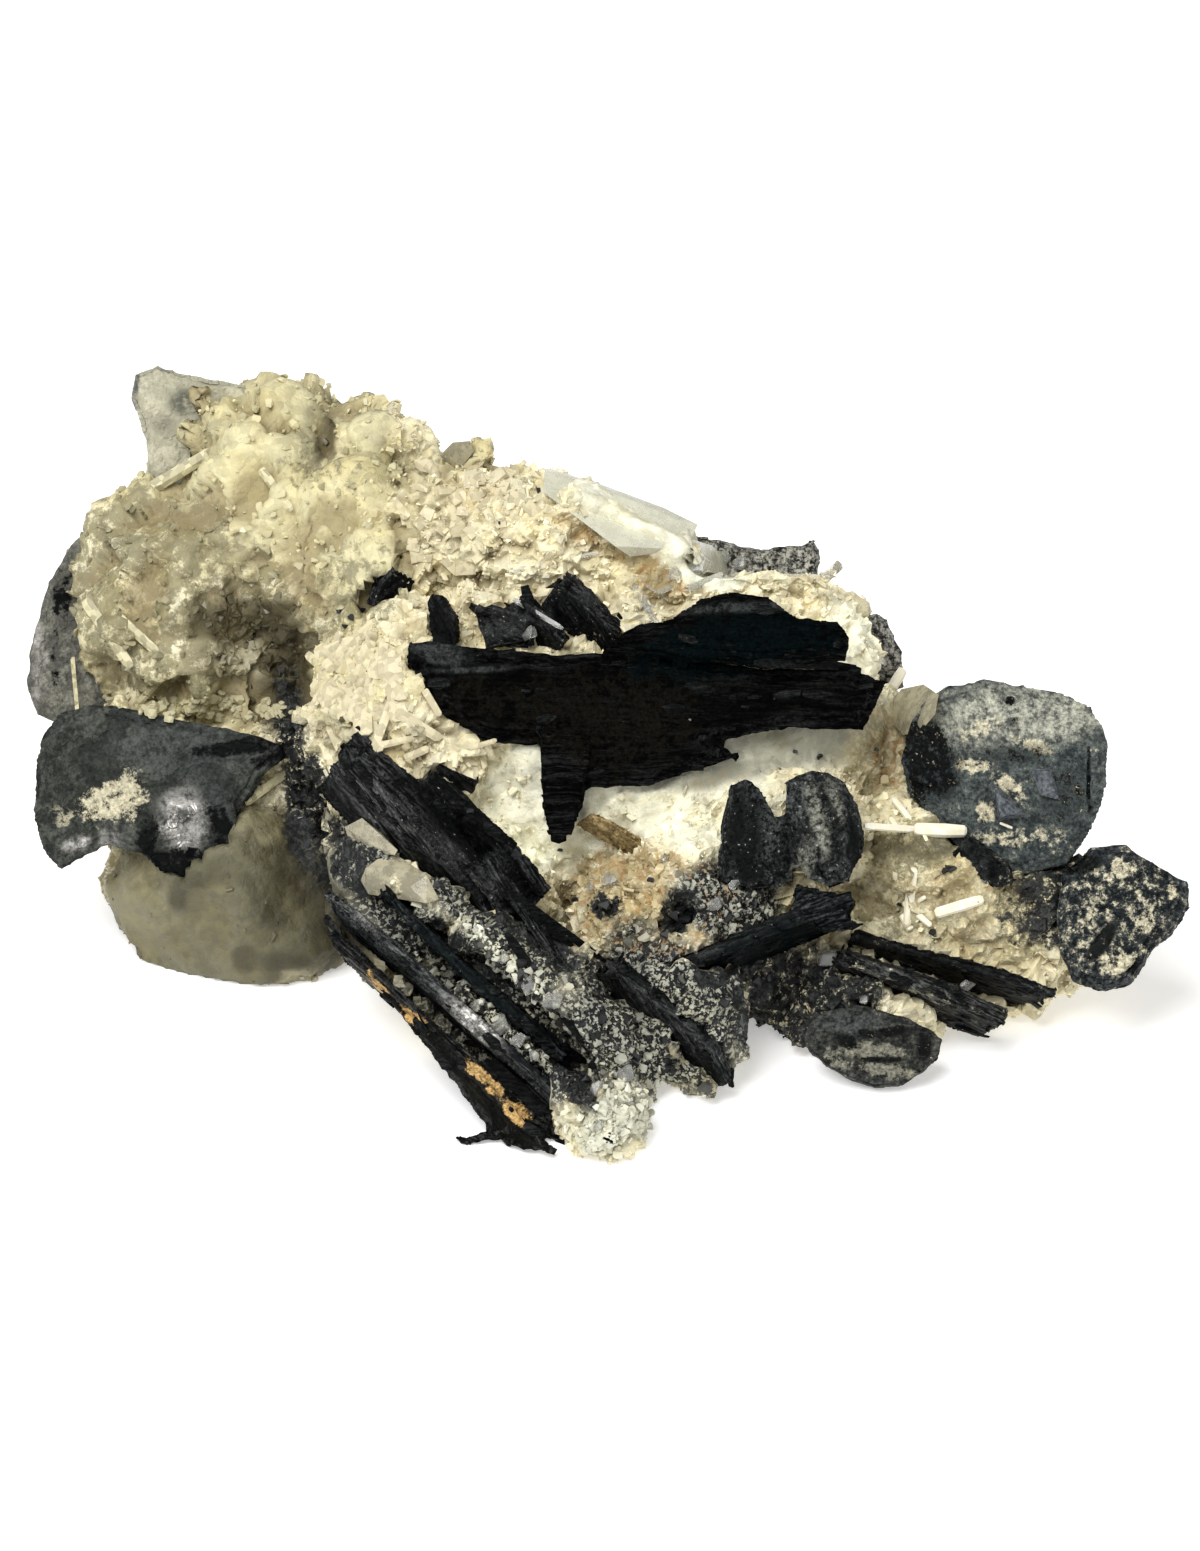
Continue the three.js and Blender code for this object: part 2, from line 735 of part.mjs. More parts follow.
// The matrix: lumps joined and hollowed, crusted with crystals, then cut by the plates and the ground.
const hollowed = HOLLOWS.map((hollow) => solid(lump(hollow))).reduce(
  (rock, hollow) => rock.subtract(hollow),
  joined(LUMPS.map(lump)),
);
const crusted = hollowed.add(joined([...grains(hollowed), ...LATHS.map(lath), ...NEEDLES.map(needle)]));
const sheets = Object.values(CRYSTALS).flatMap((crystal) => crystal.sheets);
const matrix = [...sheets.map(pocket), ground].reduce((rock, cut) => rock.subtract(cut), crusted);
face.add(mesh("matrix", mainBody(matrix), MATRIX));

for (const [name, { sheets: grown, finish }] of Object.entries(CRYSTALS)) {
  const shape = grown.map(sheetSolid).reduce((whole, next) => whole.add(next)).subtract(ground);
  face.add(mesh(name, shape, finish));
}

// The origin stands under the middle of the specimen's box.
const specimen = new THREE.Group();
specimen.add(face);
specimen.updateMatrixWorld(true);
const box = new THREE.Box3().setFromObject(specimen, true);
face.position.x -= (box.min.x + box.max.x) / 2;
face.position.y -= (box.min.y + box.max.y) / 2;
face.position.z -= box.min.z;

export default specimen;
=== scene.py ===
"""Dresses the solids of a raw hematite specimen: rock, grains, clear crystals, blades and plates."""

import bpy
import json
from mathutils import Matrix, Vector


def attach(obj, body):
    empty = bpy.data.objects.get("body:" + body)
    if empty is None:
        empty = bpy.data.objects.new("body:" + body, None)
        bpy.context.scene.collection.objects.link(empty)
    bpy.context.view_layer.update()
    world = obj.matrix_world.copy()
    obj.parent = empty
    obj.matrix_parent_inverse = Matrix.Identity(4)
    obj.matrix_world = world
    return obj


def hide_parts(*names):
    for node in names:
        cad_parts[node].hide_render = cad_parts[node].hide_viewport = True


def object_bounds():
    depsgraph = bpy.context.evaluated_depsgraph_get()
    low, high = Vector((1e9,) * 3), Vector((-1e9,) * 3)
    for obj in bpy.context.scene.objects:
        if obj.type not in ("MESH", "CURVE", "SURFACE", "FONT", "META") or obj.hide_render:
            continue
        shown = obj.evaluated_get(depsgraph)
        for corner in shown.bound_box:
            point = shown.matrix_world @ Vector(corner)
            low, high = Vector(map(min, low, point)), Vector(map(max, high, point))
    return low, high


bl_info = {
    "name": "Hematite specimen",
    "version": (1, 0, 0),
    "blender": (4, 5, 0),
    "location": "3D View > Sidebar > Specimen",
    "description": "Rock, grains, clear crystals and hematite plates over the solids of a mineral specimen",
    "category": "Object",
}

import json
import math

import bmesh
import bpy
import numpy as np
from bpy.props import FloatProperty, FloatVectorProperty, IntProperty, PointerProperty
from mathutils import Vector
from mathutils.bvhtree import BVHTree

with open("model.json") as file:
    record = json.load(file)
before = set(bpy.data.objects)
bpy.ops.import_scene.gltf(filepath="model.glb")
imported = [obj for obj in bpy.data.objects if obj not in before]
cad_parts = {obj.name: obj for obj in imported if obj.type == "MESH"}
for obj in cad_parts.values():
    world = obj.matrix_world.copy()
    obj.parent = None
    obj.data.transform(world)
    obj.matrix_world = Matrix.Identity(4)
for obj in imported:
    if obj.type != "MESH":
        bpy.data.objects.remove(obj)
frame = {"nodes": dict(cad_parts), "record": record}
SOLID_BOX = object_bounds()

MM = 0.001

# The showy face leans back. Places on it are [across, up, out] in millimetres from its middle.
FACE_LEAN = math.radians(30)
FACE_MIDDLE = np.array([0.345, -4.483, 16.2]) * MM
FACE_AXES = np.array([
    [1, 0, 0],
    [0, math.sin(FACE_LEAN), math.cos(FACE_LEAN)],
    [0, -math.cos(FACE_LEAN), math.sin(FACE_LEAN)],
])
OUT = FACE_AXES[2]

# The photograph's camera looks straight at the face.
PICTURE = (1200, 1551)  # pixels across and down
PIXELS_PER_MM = 16  # at the middle of the face
LENS = 200
SENSOR = 36
CAMERA_DISTANCE = PICTURE[1] / PIXELS_PER_MM * LENS / SENSOR  # millimetres out of the face
AIM_ACROSS = -0.41  # millimetres across the face
CLIP_START = 0.01

# The stage, in metres: how far the floor reaches, and the place and the width of each lamp.
FLOOR_REACH = 3
LAMPS = {"key": ((-0.13, -0.2, 0.38), 0.28), "fill": ((0.34, -0.2, 0.16), 0.25)}

# Patches of the rock, seen in the photograph. Each is an ellipse in pixels: middle across and down, half
# width and half height, then its turn in degrees and how solid it is, where those are not 0 and 1.
UPRIGHT_AND_SOLID = (0, 1)
PATCHES = {
    "chalk": [
        (862, 658, 26, 56, 25, 0.8), (590, 800, 125, 62), (700, 800, 80, 60, 0, 0.85), (520, 830, 60, 50),
    ],
    # The grey of the wall behind and under the main blade is painted shadow of the blade on the white rock.
    "clay": [(785, 742, 125, 36, 8), (690, 775, 60, 16, 10)],
    "sandy": [(962, 900, 118, 88), (880, 765, 36, 58)],
    "green": [
        (358, 695, 62, 62, 0, 0.6), (250, 460, 180, 110), (345, 560, 70, 62), (458, 452, 26, 18),
        (205, 700, 70, 34), (110, 640, 50, 60, 0, 0.6), (150, 890, 30, 50, 10, 0.22),
        (215, 905, 14, 50, 4, 0.16),
    ],
    # Olive is painted shade on the upper left, the shoulder, the saddle and between the cheek's laths; on
    # the right it is darker crystals.
    "olive": [
        (140, 620, 95, 100, 0, 0.95), (345, 600, 60, 46, 0, 0.85), (230, 580, 110, 30, 0, 0.9),
        (150, 540, 80, 50, 0, 1.0), (365, 560, 50, 40, 0, 0.5), (905, 850, 50, 26),
        (320, 470, 50, 24, 0, 0.6), (875, 905, 36, 50, 0, 0.7), (950, 880, 40, 24, 0, 0.4),
        (1010, 850, 50, 24, 0, 0.7), (200, 430, 40, 20, 20, 0.5), (335, 738, 22, 24, 0, 0.8),
        (400, 752, 36, 16, 0, 0.8), (420, 725, 26, 12, -30, 0.7), (328, 705, 14, 14, 0, 0.6),
        (470, 745, 30, 10, 0, 0.5), (930, 835, 60, 20, 0, 0.8),
    ],
    # The foot is pale rock painted in shade, as it lies under the overhang; its paler and darker clouds
    # share that painted shade.
    "foot": [(235, 915, 160, 95)],
    "mist": [
        (145, 900, 40, 60, 10, 0.8), (270, 825, 30, 18, 0, 0.9), (205, 960, 60, 36, 0, 0.45),
        (225, 915, 24, 40, 0, 0.45),
    ],
    "murk": [
        (178, 898, 12, 16, 0, 0.75), (275, 915, 13, 17, 0, 0.7), (247, 957, 15, 14, 0, 0.65),
        (312, 870, 34, 40, 0, 0.85), (330, 930, 32, 40, 0, 0.75), (285, 962, 30, 10, 0, 0.6),
        (200, 882, 60, 8, 5, 0.4),
    ],
    "slab": [(652, 515, 92, 46, -30), (700, 562, 40, 20, -20)],
    "tan": [
        (645, 905, 82, 60), (580, 527, 36, 16, -25), (652, 577, 38, 18, -35), (610, 545, 50, 14, -30),
        (885, 760, 20, 30, 0, 0.6), (480, 500, 40, 14, -20, 0.5), (950, 885, 50, 26, 0, 0.5),
        (560, 805, 110, 40, 0, 0.26), (465, 795, 60, 24, 20, 0.4), (720, 800, 60, 36, 0, 0.3),
        (410, 750, 30, 16, 0, 0.6),
    ],
    # Brown is painted shade in the recess and the hollows on the left; the small patches on the right are
    # darker crystals.
    "brown": [
        (245, 622, 60, 30), (285, 685, 30, 46), (250, 655, 60, 40, 0, 0.55), (325, 442, 9, 26, -22),
        (318, 430, 18, 34, -18, 0.5), (902, 850, 16, 9, 0, 0.8), (930, 846, 30, 12, 0, 0.6),
        (885, 852, 18, 18, 0, 0.6),
    ],
    "grey": [
        (650, 1015, 112, 82), (735, 900, 52, 46), (500, 1010, 110, 60, -42), (410, 925, 70, 30, -42),
        (480, 905, 130, 28, -42), (365, 850, 40, 40),
    ],
    "sugar": [(515, 1010, 75, 30, -42), (612, 1120, 40, 40), (505, 955, 62, 9, -42)],
    # The narrow dark patches between the blades, by the cheek and in the two pits are painted shadow; the
    # broad ones on the right are dark granular rock.
    "dark": [
        (815, 1010, 85, 72), (455, 950, 56, 18, -45), (305, 785, 26, 100, 12), (680, 915, 20, 24),
        (606, 906, 15, 11), (572, 1075, 16, 42, 30), (430, 1040, 150, 10, -45), (618, 985, 48, 24, -35),
        (730, 965, 50, 18, 15), (350, 850, 24, 60, 32), (470, 895, 90, 14, -42, 0.85),
        (535, 935, 66, 18, -42), (480, 962, 44, 12, -44), (1058, 880, 46, 66, 0, 0.95),
        (1018, 900, 26, 60, 0, 0.6),
    ],
}
# Patches with broken edges, and patches that go on round the back.
BROKEN_PATCHES = ("tan", "dark", "olive")
ALL_ROUND = ("foot", "green", "olive")

# Places where the rock is pressed in, so that a plate shows. The last number is how far out of the face it
# may stand, in millimetres.
LOW_ROCK = [
    (238, 389, 36, 12, 12, -15.4), (490, 985, 44, 20, -44, 2.5), (530, 1018, 52, 20, -44, 2.4),
    (566, 1052, 40, 18, -44, 2.4), (535, 925, 46, 16, -42, 2.4), (562, 950, 40, 14, -42, 2.2),
]
# The ridge is pressed down to these lines in front of two plates: first and last pixel across, and the
# pixel down.
LOW_RIDGES = [(690, 840, 580), (206, 270, 393)]

# Patches of the hematite pieces, in the same form.
SPOTS = {
    "main_blade": {
        "brown": [(600, 715, 105, 62, 0, 0.7), (470, 700, 55, 36, 0, 0.6)],
        "teal": [(740, 642, 125, 36, 8, 0.8)],
        # On the main blade the film paints highlights on the leaf's top edge and on the stub.
        "film": [(745, 604, 76, 6, 4, 0.5), (440, 652, 34, 12, -10, 0.5), (470, 668, 50, 5, 4, 0.5)],
    },
    "left_plate": {
        "cream": [(106, 803, 32, 20, 15, 0.8), (126, 795, 18, 28, 0, 0.75), (62, 815, 16, 14, 0, 0.5)],
        "film": [(190, 745, 90, 36, 0, 0.5), (210, 800, 26, 40, 20, 0.55)],
        "silver": [(184, 824, 24, 32, 10, 0.9), (75, 846, 15, 8, 15, 0.7), (110, 842, 10, 12, 0, 0.5)],
        # The black patches along the left plate's upper edge and on its right part are painted shadow under
        # the overhanging rock; the others are the plate's own black.
        "black": [
            (180, 868, 56, 18, 0, 0.95), (148, 845, 14, 28, 0, 0.9), (285, 752, 36, 10, 25, 0.85),
            (225, 840, 14, 34, 20, 0.9), (240, 745, 60, 10, 8, 0.8), (60, 790, 20, 40, 0, 0.4),
        ],
    },
    "left_edge_plate": {
        "silver": [(38, 640, 6, 16, 0, 0.7), (34, 690, 5, 30, 0, 0.6), (45, 660, 5, 8, 0, 0.6)],
        "black": [(62, 600, 14, 34, 0, 0.7), (56, 650, 6, 40, 0, 0.6)],
    },
    "top_left_plate": {
        "blot": [
            (186, 402, 21, 16, 0, 0.8), (165, 425, 13, 11, 0, 0.6), (256, 387, 12, 8, 0, 0.75),
            (222, 400, 9, 7, 0, 0.7),
        ],
        "film": [(131, 395, 4, 50, -6, 0.8), (200, 368, 70, 3, -10, 0.6)],
    },
    "right_plate": {
        "haze": [(1010, 712, 100, 34, 6, 0.7), (985, 712, 44, 22, 0, 0.9), (1058, 716, 52, 24, 12, 0.85)],
        "cream": [
            (985, 728, 34, 13, 10, 0.55), (1030, 745, 26, 9, -15, 0.6), (1012, 786, 26, 8, -40, 0.75),
            (983, 812, 9, 16, 0, 0.8), (975, 765, 22, 8, 10, 0.75), (1000, 840, 42, 11, 0, 0.6),
            (1050, 840, 30, 20, 0, 0.4),
        ],
        "black": [
            (922, 746, 32, 32, 0, 0.9), (934, 775, 34, 38, 0, 0.85), (1011, 698, 7, 7, 0, 0.9),
            (1012, 722, 8, 6, 0, 0.75), (1010, 754, 44, 12, 0, 0.6), (1066, 795, 34, 40, 0, 0.55),
        ],
        "teal": [(1092, 785, 4, 36, 2, 0.9)],
    },
    "right_lobe": {
        "cream": [
            (1115, 915, 80, 75, 0, 0.46), (1146, 924, 16, 11, 0, 0.68), (1120, 962, 24, 17, 0, 0.66),
            (1118, 866, 9, 13, 0, 0.7), (1174, 890, 7, 14, 0, 0.7),
        ],
        "black": [
            (1103, 940, 8, 26, -38, 0.95), (1080, 862, 28, 12, 10, 0.9), (1140, 970, 14, 8, 0, 0.8),
        ],
    },
    "round_plates": {
        "haze": [(818, 822, 9, 40, 14, 0.4), (803, 862, 9, 22, 0, 0.35), (838, 800, 7, 22, 20, 0.35)],
        "black": [(745, 840, 26, 50, 0, 0.6), (857, 850, 8, 40, 8, 0.8)],
    },
    "lower_right_plate": {
        "dusk": [
            (868, 1050, 42, 12, -8, 0.8), (885, 1072, 38, 9, -10, 0.9), (835, 1058, 10, 16, 30, 0.75),
        ],
        "film": [(850, 1020, 40, 14, 0, 0.7)],
        "black": [
            (900, 1030, 30, 7, 10, 0.9), (845, 1040, 18, 8, -20, 0.9), (925, 1040, 9, 26, 0, 0.85),
            (880, 1059, 26, 4, 0, 0.85), (865, 1033, 12, 6, 0, 0.75),
        ],
    },
    "grey_blade": {
        "sheen": [
            (370, 925, 70, 12, -42, 0.95), (440, 990, 70, 9, -44, 0.8), (545, 1090, 60, 8, -42, 0.7),
        ],
        "silver": [(474, 1024, 34, 12, -42, 0.95), (362, 918, 20, 3, -42, 0.5)],
    },
    "outer_blade": {
        "rust": [
            (375, 982, 20, 5, -52, 0.85), (413, 1019, 20, 8, -38, 0.9), (485, 1076, 36, 5, -42, 0.8),
            (516, 1110, 20, 8, -45, 0.95),
        ],
    },
    "left_blade": {
        "sheen": [
            (385, 805, 60, 22, -45, 0.8), (440, 850, 60, 12, -42, 0.6), (520, 940, 60, 8, -42, 0.4),
        ],
    },
    "second_blade": {"sheen": [(440, 930, 60, 6, -42, 0.5), (500, 985, 60, 6, -42, 0.6)]},
    "cross_blade": {"teal": [(742, 940, 70, 9, 27, 0.7)], "sheen": [(740, 935, 80, 5, 27, 0.25)]},
    "upper_stack_blade": {"cream": [(930, 985, 50, 4, -14, 0.6)], "sheen": [(880, 962, 80, 9, -15, 0.7)]},
    "lower_stack_blade": {
        "cream": [(900, 985, 52, 5, -22, 0.55), (960, 1005, 34, 5, -20, 0.5)],
        "sheen": [(890, 980, 90, 14, -22, 0.8)],
    },
    "ridge_blade": {"sheen": [(660, 1010, 80, 12, -40, 0.6)]},
    "upper_blades": {
        "film": [(500, 630, 30, 12, 0, 0.5), (540, 615, 12, 14, -45, 0.5), (590, 595, 20, 8, 0, 0.5)],
    },
}

# Crystals laid on the rock, from one pixel to another, and their width in pixels.
PALE_LATHS = [
    (420, 462, 456, 486, 16), (392, 500, 408, 517, 12), (375, 622, 322, 668, 9), (337, 680, 366, 713, 9),
    (396, 690, 374, 750, 10), (398, 712, 440, 738, 12), (470, 748, 496, 740, 6), (486, 742, 494, 760, 8),
    (310, 655, 345, 690, 10), (312, 690, 340, 712, 12), (350, 660, 362, 700, 9), (372, 655, 378, 700, 8),
    (392, 650, 396, 695, 9), (425, 690, 440, 715, 8), (380, 745, 412, 738, 8), (405, 758, 428, 748, 9),
    (330, 725, 342, 755, 12),
]
DULL_LATHS = [
    (140, 494, 212, 450, 15), (88, 602, 132, 666, 13), (114, 612, 163, 657, 11), (71, 645, 73, 712, 5),
    (134, 706, 162, 678, 8), (335, 420, 346, 462, 9), (245, 802, 292, 768, 10), (262, 470, 292, 510, 10),
]
# A fan of laths on the cheek: the pixel that they point away from, and the ellipse that they fill.
FAN_FOCUS = (385, 600)
FAN_ELLIPSE = (360, 686, 42, 44)
FAN_COUNT = 34
FAN_HALF_LENGTHS = (12, 26)  # pixels
FAN_WIDTHS = (9, 22)
FAN_DISORDER = 0.35
CLEAR_LATHS = [
    (634, 585, 657, 623, 8), (641, 592, 652, 616, 4), (735, 574, 822, 577, 8), (822, 578, 839, 563, 12),
    (511, 572, 596, 553, 5), (658, 592, 702, 575, 6), (688, 588, 722, 574, 8), (640, 598, 662, 612, 3),
    (632, 600, 640, 622, 3), (646, 585, 668, 600, 3), (515, 600, 562, 628, 6), (868, 640, 884, 665, 6),
]
WHITE_RODS = [
    (915, 829, 965, 831, 15), (866, 826, 925, 830, 8), (893, 799, 926, 840, 7), (913, 869, 907, 925, 10),
    (905, 903, 930, 925, 7), (906, 908, 925, 897, 5), (936, 913, 982, 899, 12), (903, 915, 911, 930, 9),
    (890, 818, 898, 830, 6), (1000, 823, 1012, 828, 3), (891, 688, 908, 668, 12),
]
# A dark blade sunk deep in the gap between the blades, which stands for the painted shadow there.
GAP_SHADOW_BLADES = [(484, 1066, 560, 1130, 36)]
THIN_BLADES = [
    (510, 892, 606, 962, 12), (508, 935, 582, 1042, 14), (532, 915, 575, 948, 10),
    (756, 663, 852, 667, 13), (560, 1046, 586, 1066, 12),
]
# Broken crystals of the ridge and the saddle fill these ellipses. The last number is how many. Their least
# and greatest width and height follow, in pixels.
BROKEN_CRYSTALS = [(510, 505, 60, 34, 26), (445, 525, 40, 60, 26)]
BROKEN_SIZES = ((10, 8), (26, 17))
# The ellipse along the left plate's upper edge that lumps of rock hang over, with their widths in pixels,
# their height as a share of the width, and the patches that they are coloured as.
LUMP_ELLIPSE = (222, 710, 84, 12)
LUMP_COUNT = 90
LUMP_WIDTHS = (7, 16)
LUMP_HEIGHT = 0.8
LUMP_PATCHES = {"green": 0.9, "olive": 0.3, "shade": 0.3}

# Small clear blocks: pixel across and down, width and height in pixels, turn in degrees.
BLOCKS = [
    (530, 634, 20, 17, 8), (700, 566, 34, 22, -20), (722, 558, 28, 20, 10), (678, 574, 24, 18, 30),
    (742, 562, 22, 16, 0), (612, 879, 26, 18, 10), (592, 888, 14, 22, 0), (553, 1000, 18, 15, 0),
    (552, 1062, 20, 18, 0), (480, 1005, 20, 15, 10), (500, 1025, 18, 15, 40), (520, 1040, 20, 15, 20),
    (468, 985, 17, 13, 0), (535, 1055, 15, 13, 60), (600, 1090, 22, 18, 10), (625, 1075, 18, 15, 30),
    (450, 975, 15, 11, 0), (865, 1000, 14, 10, 0), (828, 958, 16, 14, 0), (970, 985, 22, 16, 0),
    (480, 930, 16, 12, 0), (505, 958, 18, 14, 20), (530, 985, 16, 12, 40), (625, 1105, 24, 18, 0),
    (600, 1125, 20, 16, 30), (735, 885, 16, 12, 0), (715, 905, 14, 12, 30), (665, 860, 14, 12, 0),
]

# Larger crystals by the outline that the photograph shows, in pixels.
RIDGE_SLABS = [
    [(548, 466), (604, 483), (664, 506), (697, 527), (686, 549), (630, 557), (546, 494)],
    [(690, 538), (712, 545), (735, 562), (728, 572), (700, 570), (682, 556)],
]
HONEY_CRYSTALS = [
    [(893, 700), (905, 688), (925, 684), (938, 695), (934, 715), (920, 732), (903, 735), (893, 725)],
    [(345, 827), (362, 818), (380, 832), (398, 850), (395, 855), (366, 852), (349, 841)],
    [
        (361, 880), (366, 868), (383, 855), (400, 857), (427, 875), (439, 899), (427, 903), (391, 893),
        (369, 894),
    ],
    [(440, 455), (452, 441), (470, 440), (474, 452), (462, 466), (446, 466)],
]
PLATE_CHIPS = [
    [(989, 775), (1029, 815), (998, 822)],
    [(1030, 768), (1052, 770), (1060, 800), (1040, 795)],
]

# Black dots: pixel across and down, radius in pixels. The clusters in the two pits of the tan patch are
# painted shade in the pits; the rest are black specks.
DOTS = [
    (541, 490, 6), (520, 497, 3.5), (498, 522, 4), (470, 480, 2.5), (566, 483, 3), (340, 612, 4),
    (352, 618, 5), (346, 625, 4), (362, 608, 4), (606, 906, 8), (598, 908, 6), (614, 900, 6),
    (680, 905, 7), (672, 915, 8), (684, 922, 8), (690, 912, 6), (664, 935, 5), (633, 930, 4),
    (952, 866, 7), (946, 872, 5), (933, 933, 5), (1010, 900, 3), (900, 905, 3), (876, 750, 3),
    (795, 752, 3), (820, 757, 4), (690, 720, 2), (470, 812, 4), (440, 800, 4), (560, 850, 3),
    (575, 900, 4), (650, 880, 4), (660, 925, 5), (620, 935, 4), (985, 880, 3),
]

HEMATITE_NODES = sorted(set(frame["nodes"]) - {"matrix"})

# How each piece of hematite looks, where it differs from the plain blade.
PLAIN_BLADE = {
    "base": (0.0015, 0.0018, 0.0018), "second": (0.016, 0.0175, 0.0165), "mottle": 0.25, "lines": 0.8,
    "dust": 0.0, "rim": 0.25, "sparkle": 0.3, "rough": 0.42, "stretch": 0.3, "depth": 1.0,
    "grain": 1400.0, "grit": 0.5, "gloss": 0.035,
}
LOOKS = {
    "main_blade": {
        "base": (0.0003, 0.0004, 0.0003), "second": (0.0072, 0.0078, 0.0067), "lines": 0.9, "rim": 0.06,
        "rough": 0.55, "depth": 0.7, "sparkle": 0.2, "gloss": 0.012,
    },
    "small_blade": {"second": (0.014, 0.015, 0.014), "rim": 0.2},
    "upper_blades": {"second": (0.02, 0.022, 0.021), "dust": 0.25, "sparkle": 0.5},
    "left_blade": {"second": (0.016, 0.0175, 0.016), "lines": 1.0, "sparkle": 0.5},
    "second_blade": {"base": (0.0015, 0.003, 0.0034), "second": (0.012, 0.018, 0.019), "sparkle": 0.4},
    "grey_blade": {
        "base": (0.002, 0.0025, 0.003), "second": (0.026, 0.03, 0.033), "lines": 1.0, "rim": 0.5,
    },
    "outer_blade": {"base": (0.002, 0.002, 0.0016), "second": (0.02, 0.019, 0.013), "rim": 0.25},
    "ridge_blade": {
        "base": (0.003, 0.004, 0.004), "second": (0.026, 0.029, 0.028), "mottle": 0.5, "dust": 0.2,
    },
    "cross_blade": {"base": (0.0008, 0.0014, 0.0016), "second": (0.0045, 0.008, 0.0085), "rough": 0.36},
    "round_plates": {
        "base": (0.003, 0.0036, 0.0034), "second": (0.052, 0.058, 0.054), "mottle": 1.0, "lines": 0.2,
        "sparkle": 0.6, "stretch": 0.9, "grain": 2200.0,
    },
    "right_plate": {
        "base": (0.025, 0.031, 0.031), "second": (0.15, 0.17, 0.155), "mottle": 1.0, "lines": 0.25,
        "dust": 0.3, "stretch": 0.9, "depth": 0.8, "grain": 1500.0, "grit": 0.4,
    },
    "right_lobe": {
        "base": (0.005, 0.007, 0.008), "second": (0.06, 0.068, 0.066), "mottle": 1.0, "lines": 0.2,
        "dust": 0.3, "stretch": 0.9, "grain": 1500.0,
    },
    "upper_stack_blade": {"second": (0.028, 0.03, 0.028), "dust": 0.2, "lines": 1.0},
    "lower_stack_blade": {"second": (0.06, 0.06, 0.052), "dust": 0.3, "lines": 1.0},
    "lower_right_plate": {
        "base": (0.01, 0.011, 0.01), "second": (0.075, 0.077, 0.066), "mottle": 0.8, "dust": 0.2,
        "stretch": 0.8,
    },
    "left_plate": {
        "base": (0.02, 0.0215, 0.019), "second": (0.075, 0.08, 0.068), "mottle": 1.0, "lines": 0.2,
        "rim": 0.1, "stretch": 0.9, "depth": 1.2, "sparkle": 0.3, "grain": 1000.0, "grit": 0.3,
    },
    "left_edge_plate": {
        "base": (0.08, 0.08, 0.07), "second": (0.22, 0.217, 0.18), "mottle": 1.0, "lines": 0.2,
        "stretch": 0.9, "grain": 900.0, "grit": 0.25,
    },
    "top_left_plate": {
        "base": (0.34, 0.325, 0.24), "second": (0.54, 0.515, 0.39), "mottle": 1.0, "lines": 0.1,
        "stretch": 0.9, "sparkle": 0.0, "rim": 0.5, "grain": 800.0, "grit": 0.1,
    },
    "back_top_plate": {
        "base": (0.02, 0.02, 0.018), "second": (0.4, 0.39, 0.33), "mottle": 1.0, "lines": 0.2,
        "stretch": 0.9, "sparkle": 1.0, "rough": 0.3, "grain": 2200.0,
    },
    "tan_sliver": {
        "base": (0.14, 0.1, 0.045), "second": (0.6, 0.46, 0.22), "mottle": 0.5, "rim": 0.0,
        "sparkle": 0.0,
    },
    "grey_chip": {
        "base": (0.06, 0.068, 0.075), "second": (0.13, 0.14, 0.15), "mottle": 0.7, "lines": 0.4,
    },
    "dark_knob": {"dust": 0.3, "mottle": 0.8},
    "slab_rod": {"second": (0.03, 0.032, 0.033), "mottle": 0.8, "dust": 0.3},
    "right_sliver": {
        "base": (0.02, 0.02, 0.018), "second": (0.3, 0.29, 0.25), "mottle": 1.0, "sparkle": 1.0,
        "rough": 0.3, "grain": 2200.0,
    },
}
# Patches of hematite with soft edges, and how many thin flakes lie on a blade.
SOFT_SPOTS = ("haze", "silver", "film", "blot")
FLAKED = {
    "left_blade": 170, "second_blade": 60, "grey_blade": 50, "outer_blade": 60, "cross_blade": 40,
    "upper_blades": 40, "main_blade": 40, "upper_stack_blade": 50, "lower_stack_blade": 50,
    "ridge_blade": 60,
}

# The rock's relief, in metres: size, seed and tilt of its crystal faces, then height and size of its swells
# and crumbs.
BROAD_FACES = (3.6 * MM, 13, 0.4)
COARSE_FACES = (1.5 * MM, 3, 0.55)
FINE_FACES = (0.7 * MM, 5, 0.6)
SWELL_HEIGHT, SWELL_SIZE = 0.35 * MM, 3.2 * MM
CRUMB_HEIGHT, CRUMB_SIZE = 0.07 * MM, 0.6 * MM
LOWEST, HIGHEST = -1.2 * MM, 0.65 * MM
# Heights over which the painted shade in the gaps between crystals grows from none to full.
GAP_START, GAP_END = 0.05 * MM, -0.7 * MM
BASE_LEVEL = 0.3 * MM
PATCH_EDGE = 0.25  # as a share of the ellipse
SPOT_EDGE = 0.6
LOW_ROCK_PRESS = 0.9  # share of the height that is taken away
LOW_RIDGE_PRESS = 0.85

# The finishes' noises: bumps a metre.
STAIN_SCALE = 300.0
RAGGED_SCALE = 900.0
FROST_SCALE = 900.0
ROCK_GRAIN = 2000.0
LATH_GRAIN = 2400.0
PEPPER_SCALE = 3200.0
GLINT_SCALE = 4400.0
LINE_STRETCH = (0.22, 2.2, 6.0)  # along, across and through a sheet
FIBRE_STRETCH = (1.1, 6.5, 9.0)
LINE_SHARE, FIBRE_SHARE = 0.6, 0.4

# The finishes' reliefs: strength, and depth in metres.
ROCK_RELIEF = (0.55, 0.2 * MM)
FROST_RELIEF = (0.4, 0.2 * MM)
LATH_RELIEF = (0.3, 0.1 * MM)
SHEET_RELIEF = (0.6, 0.25 * MM)

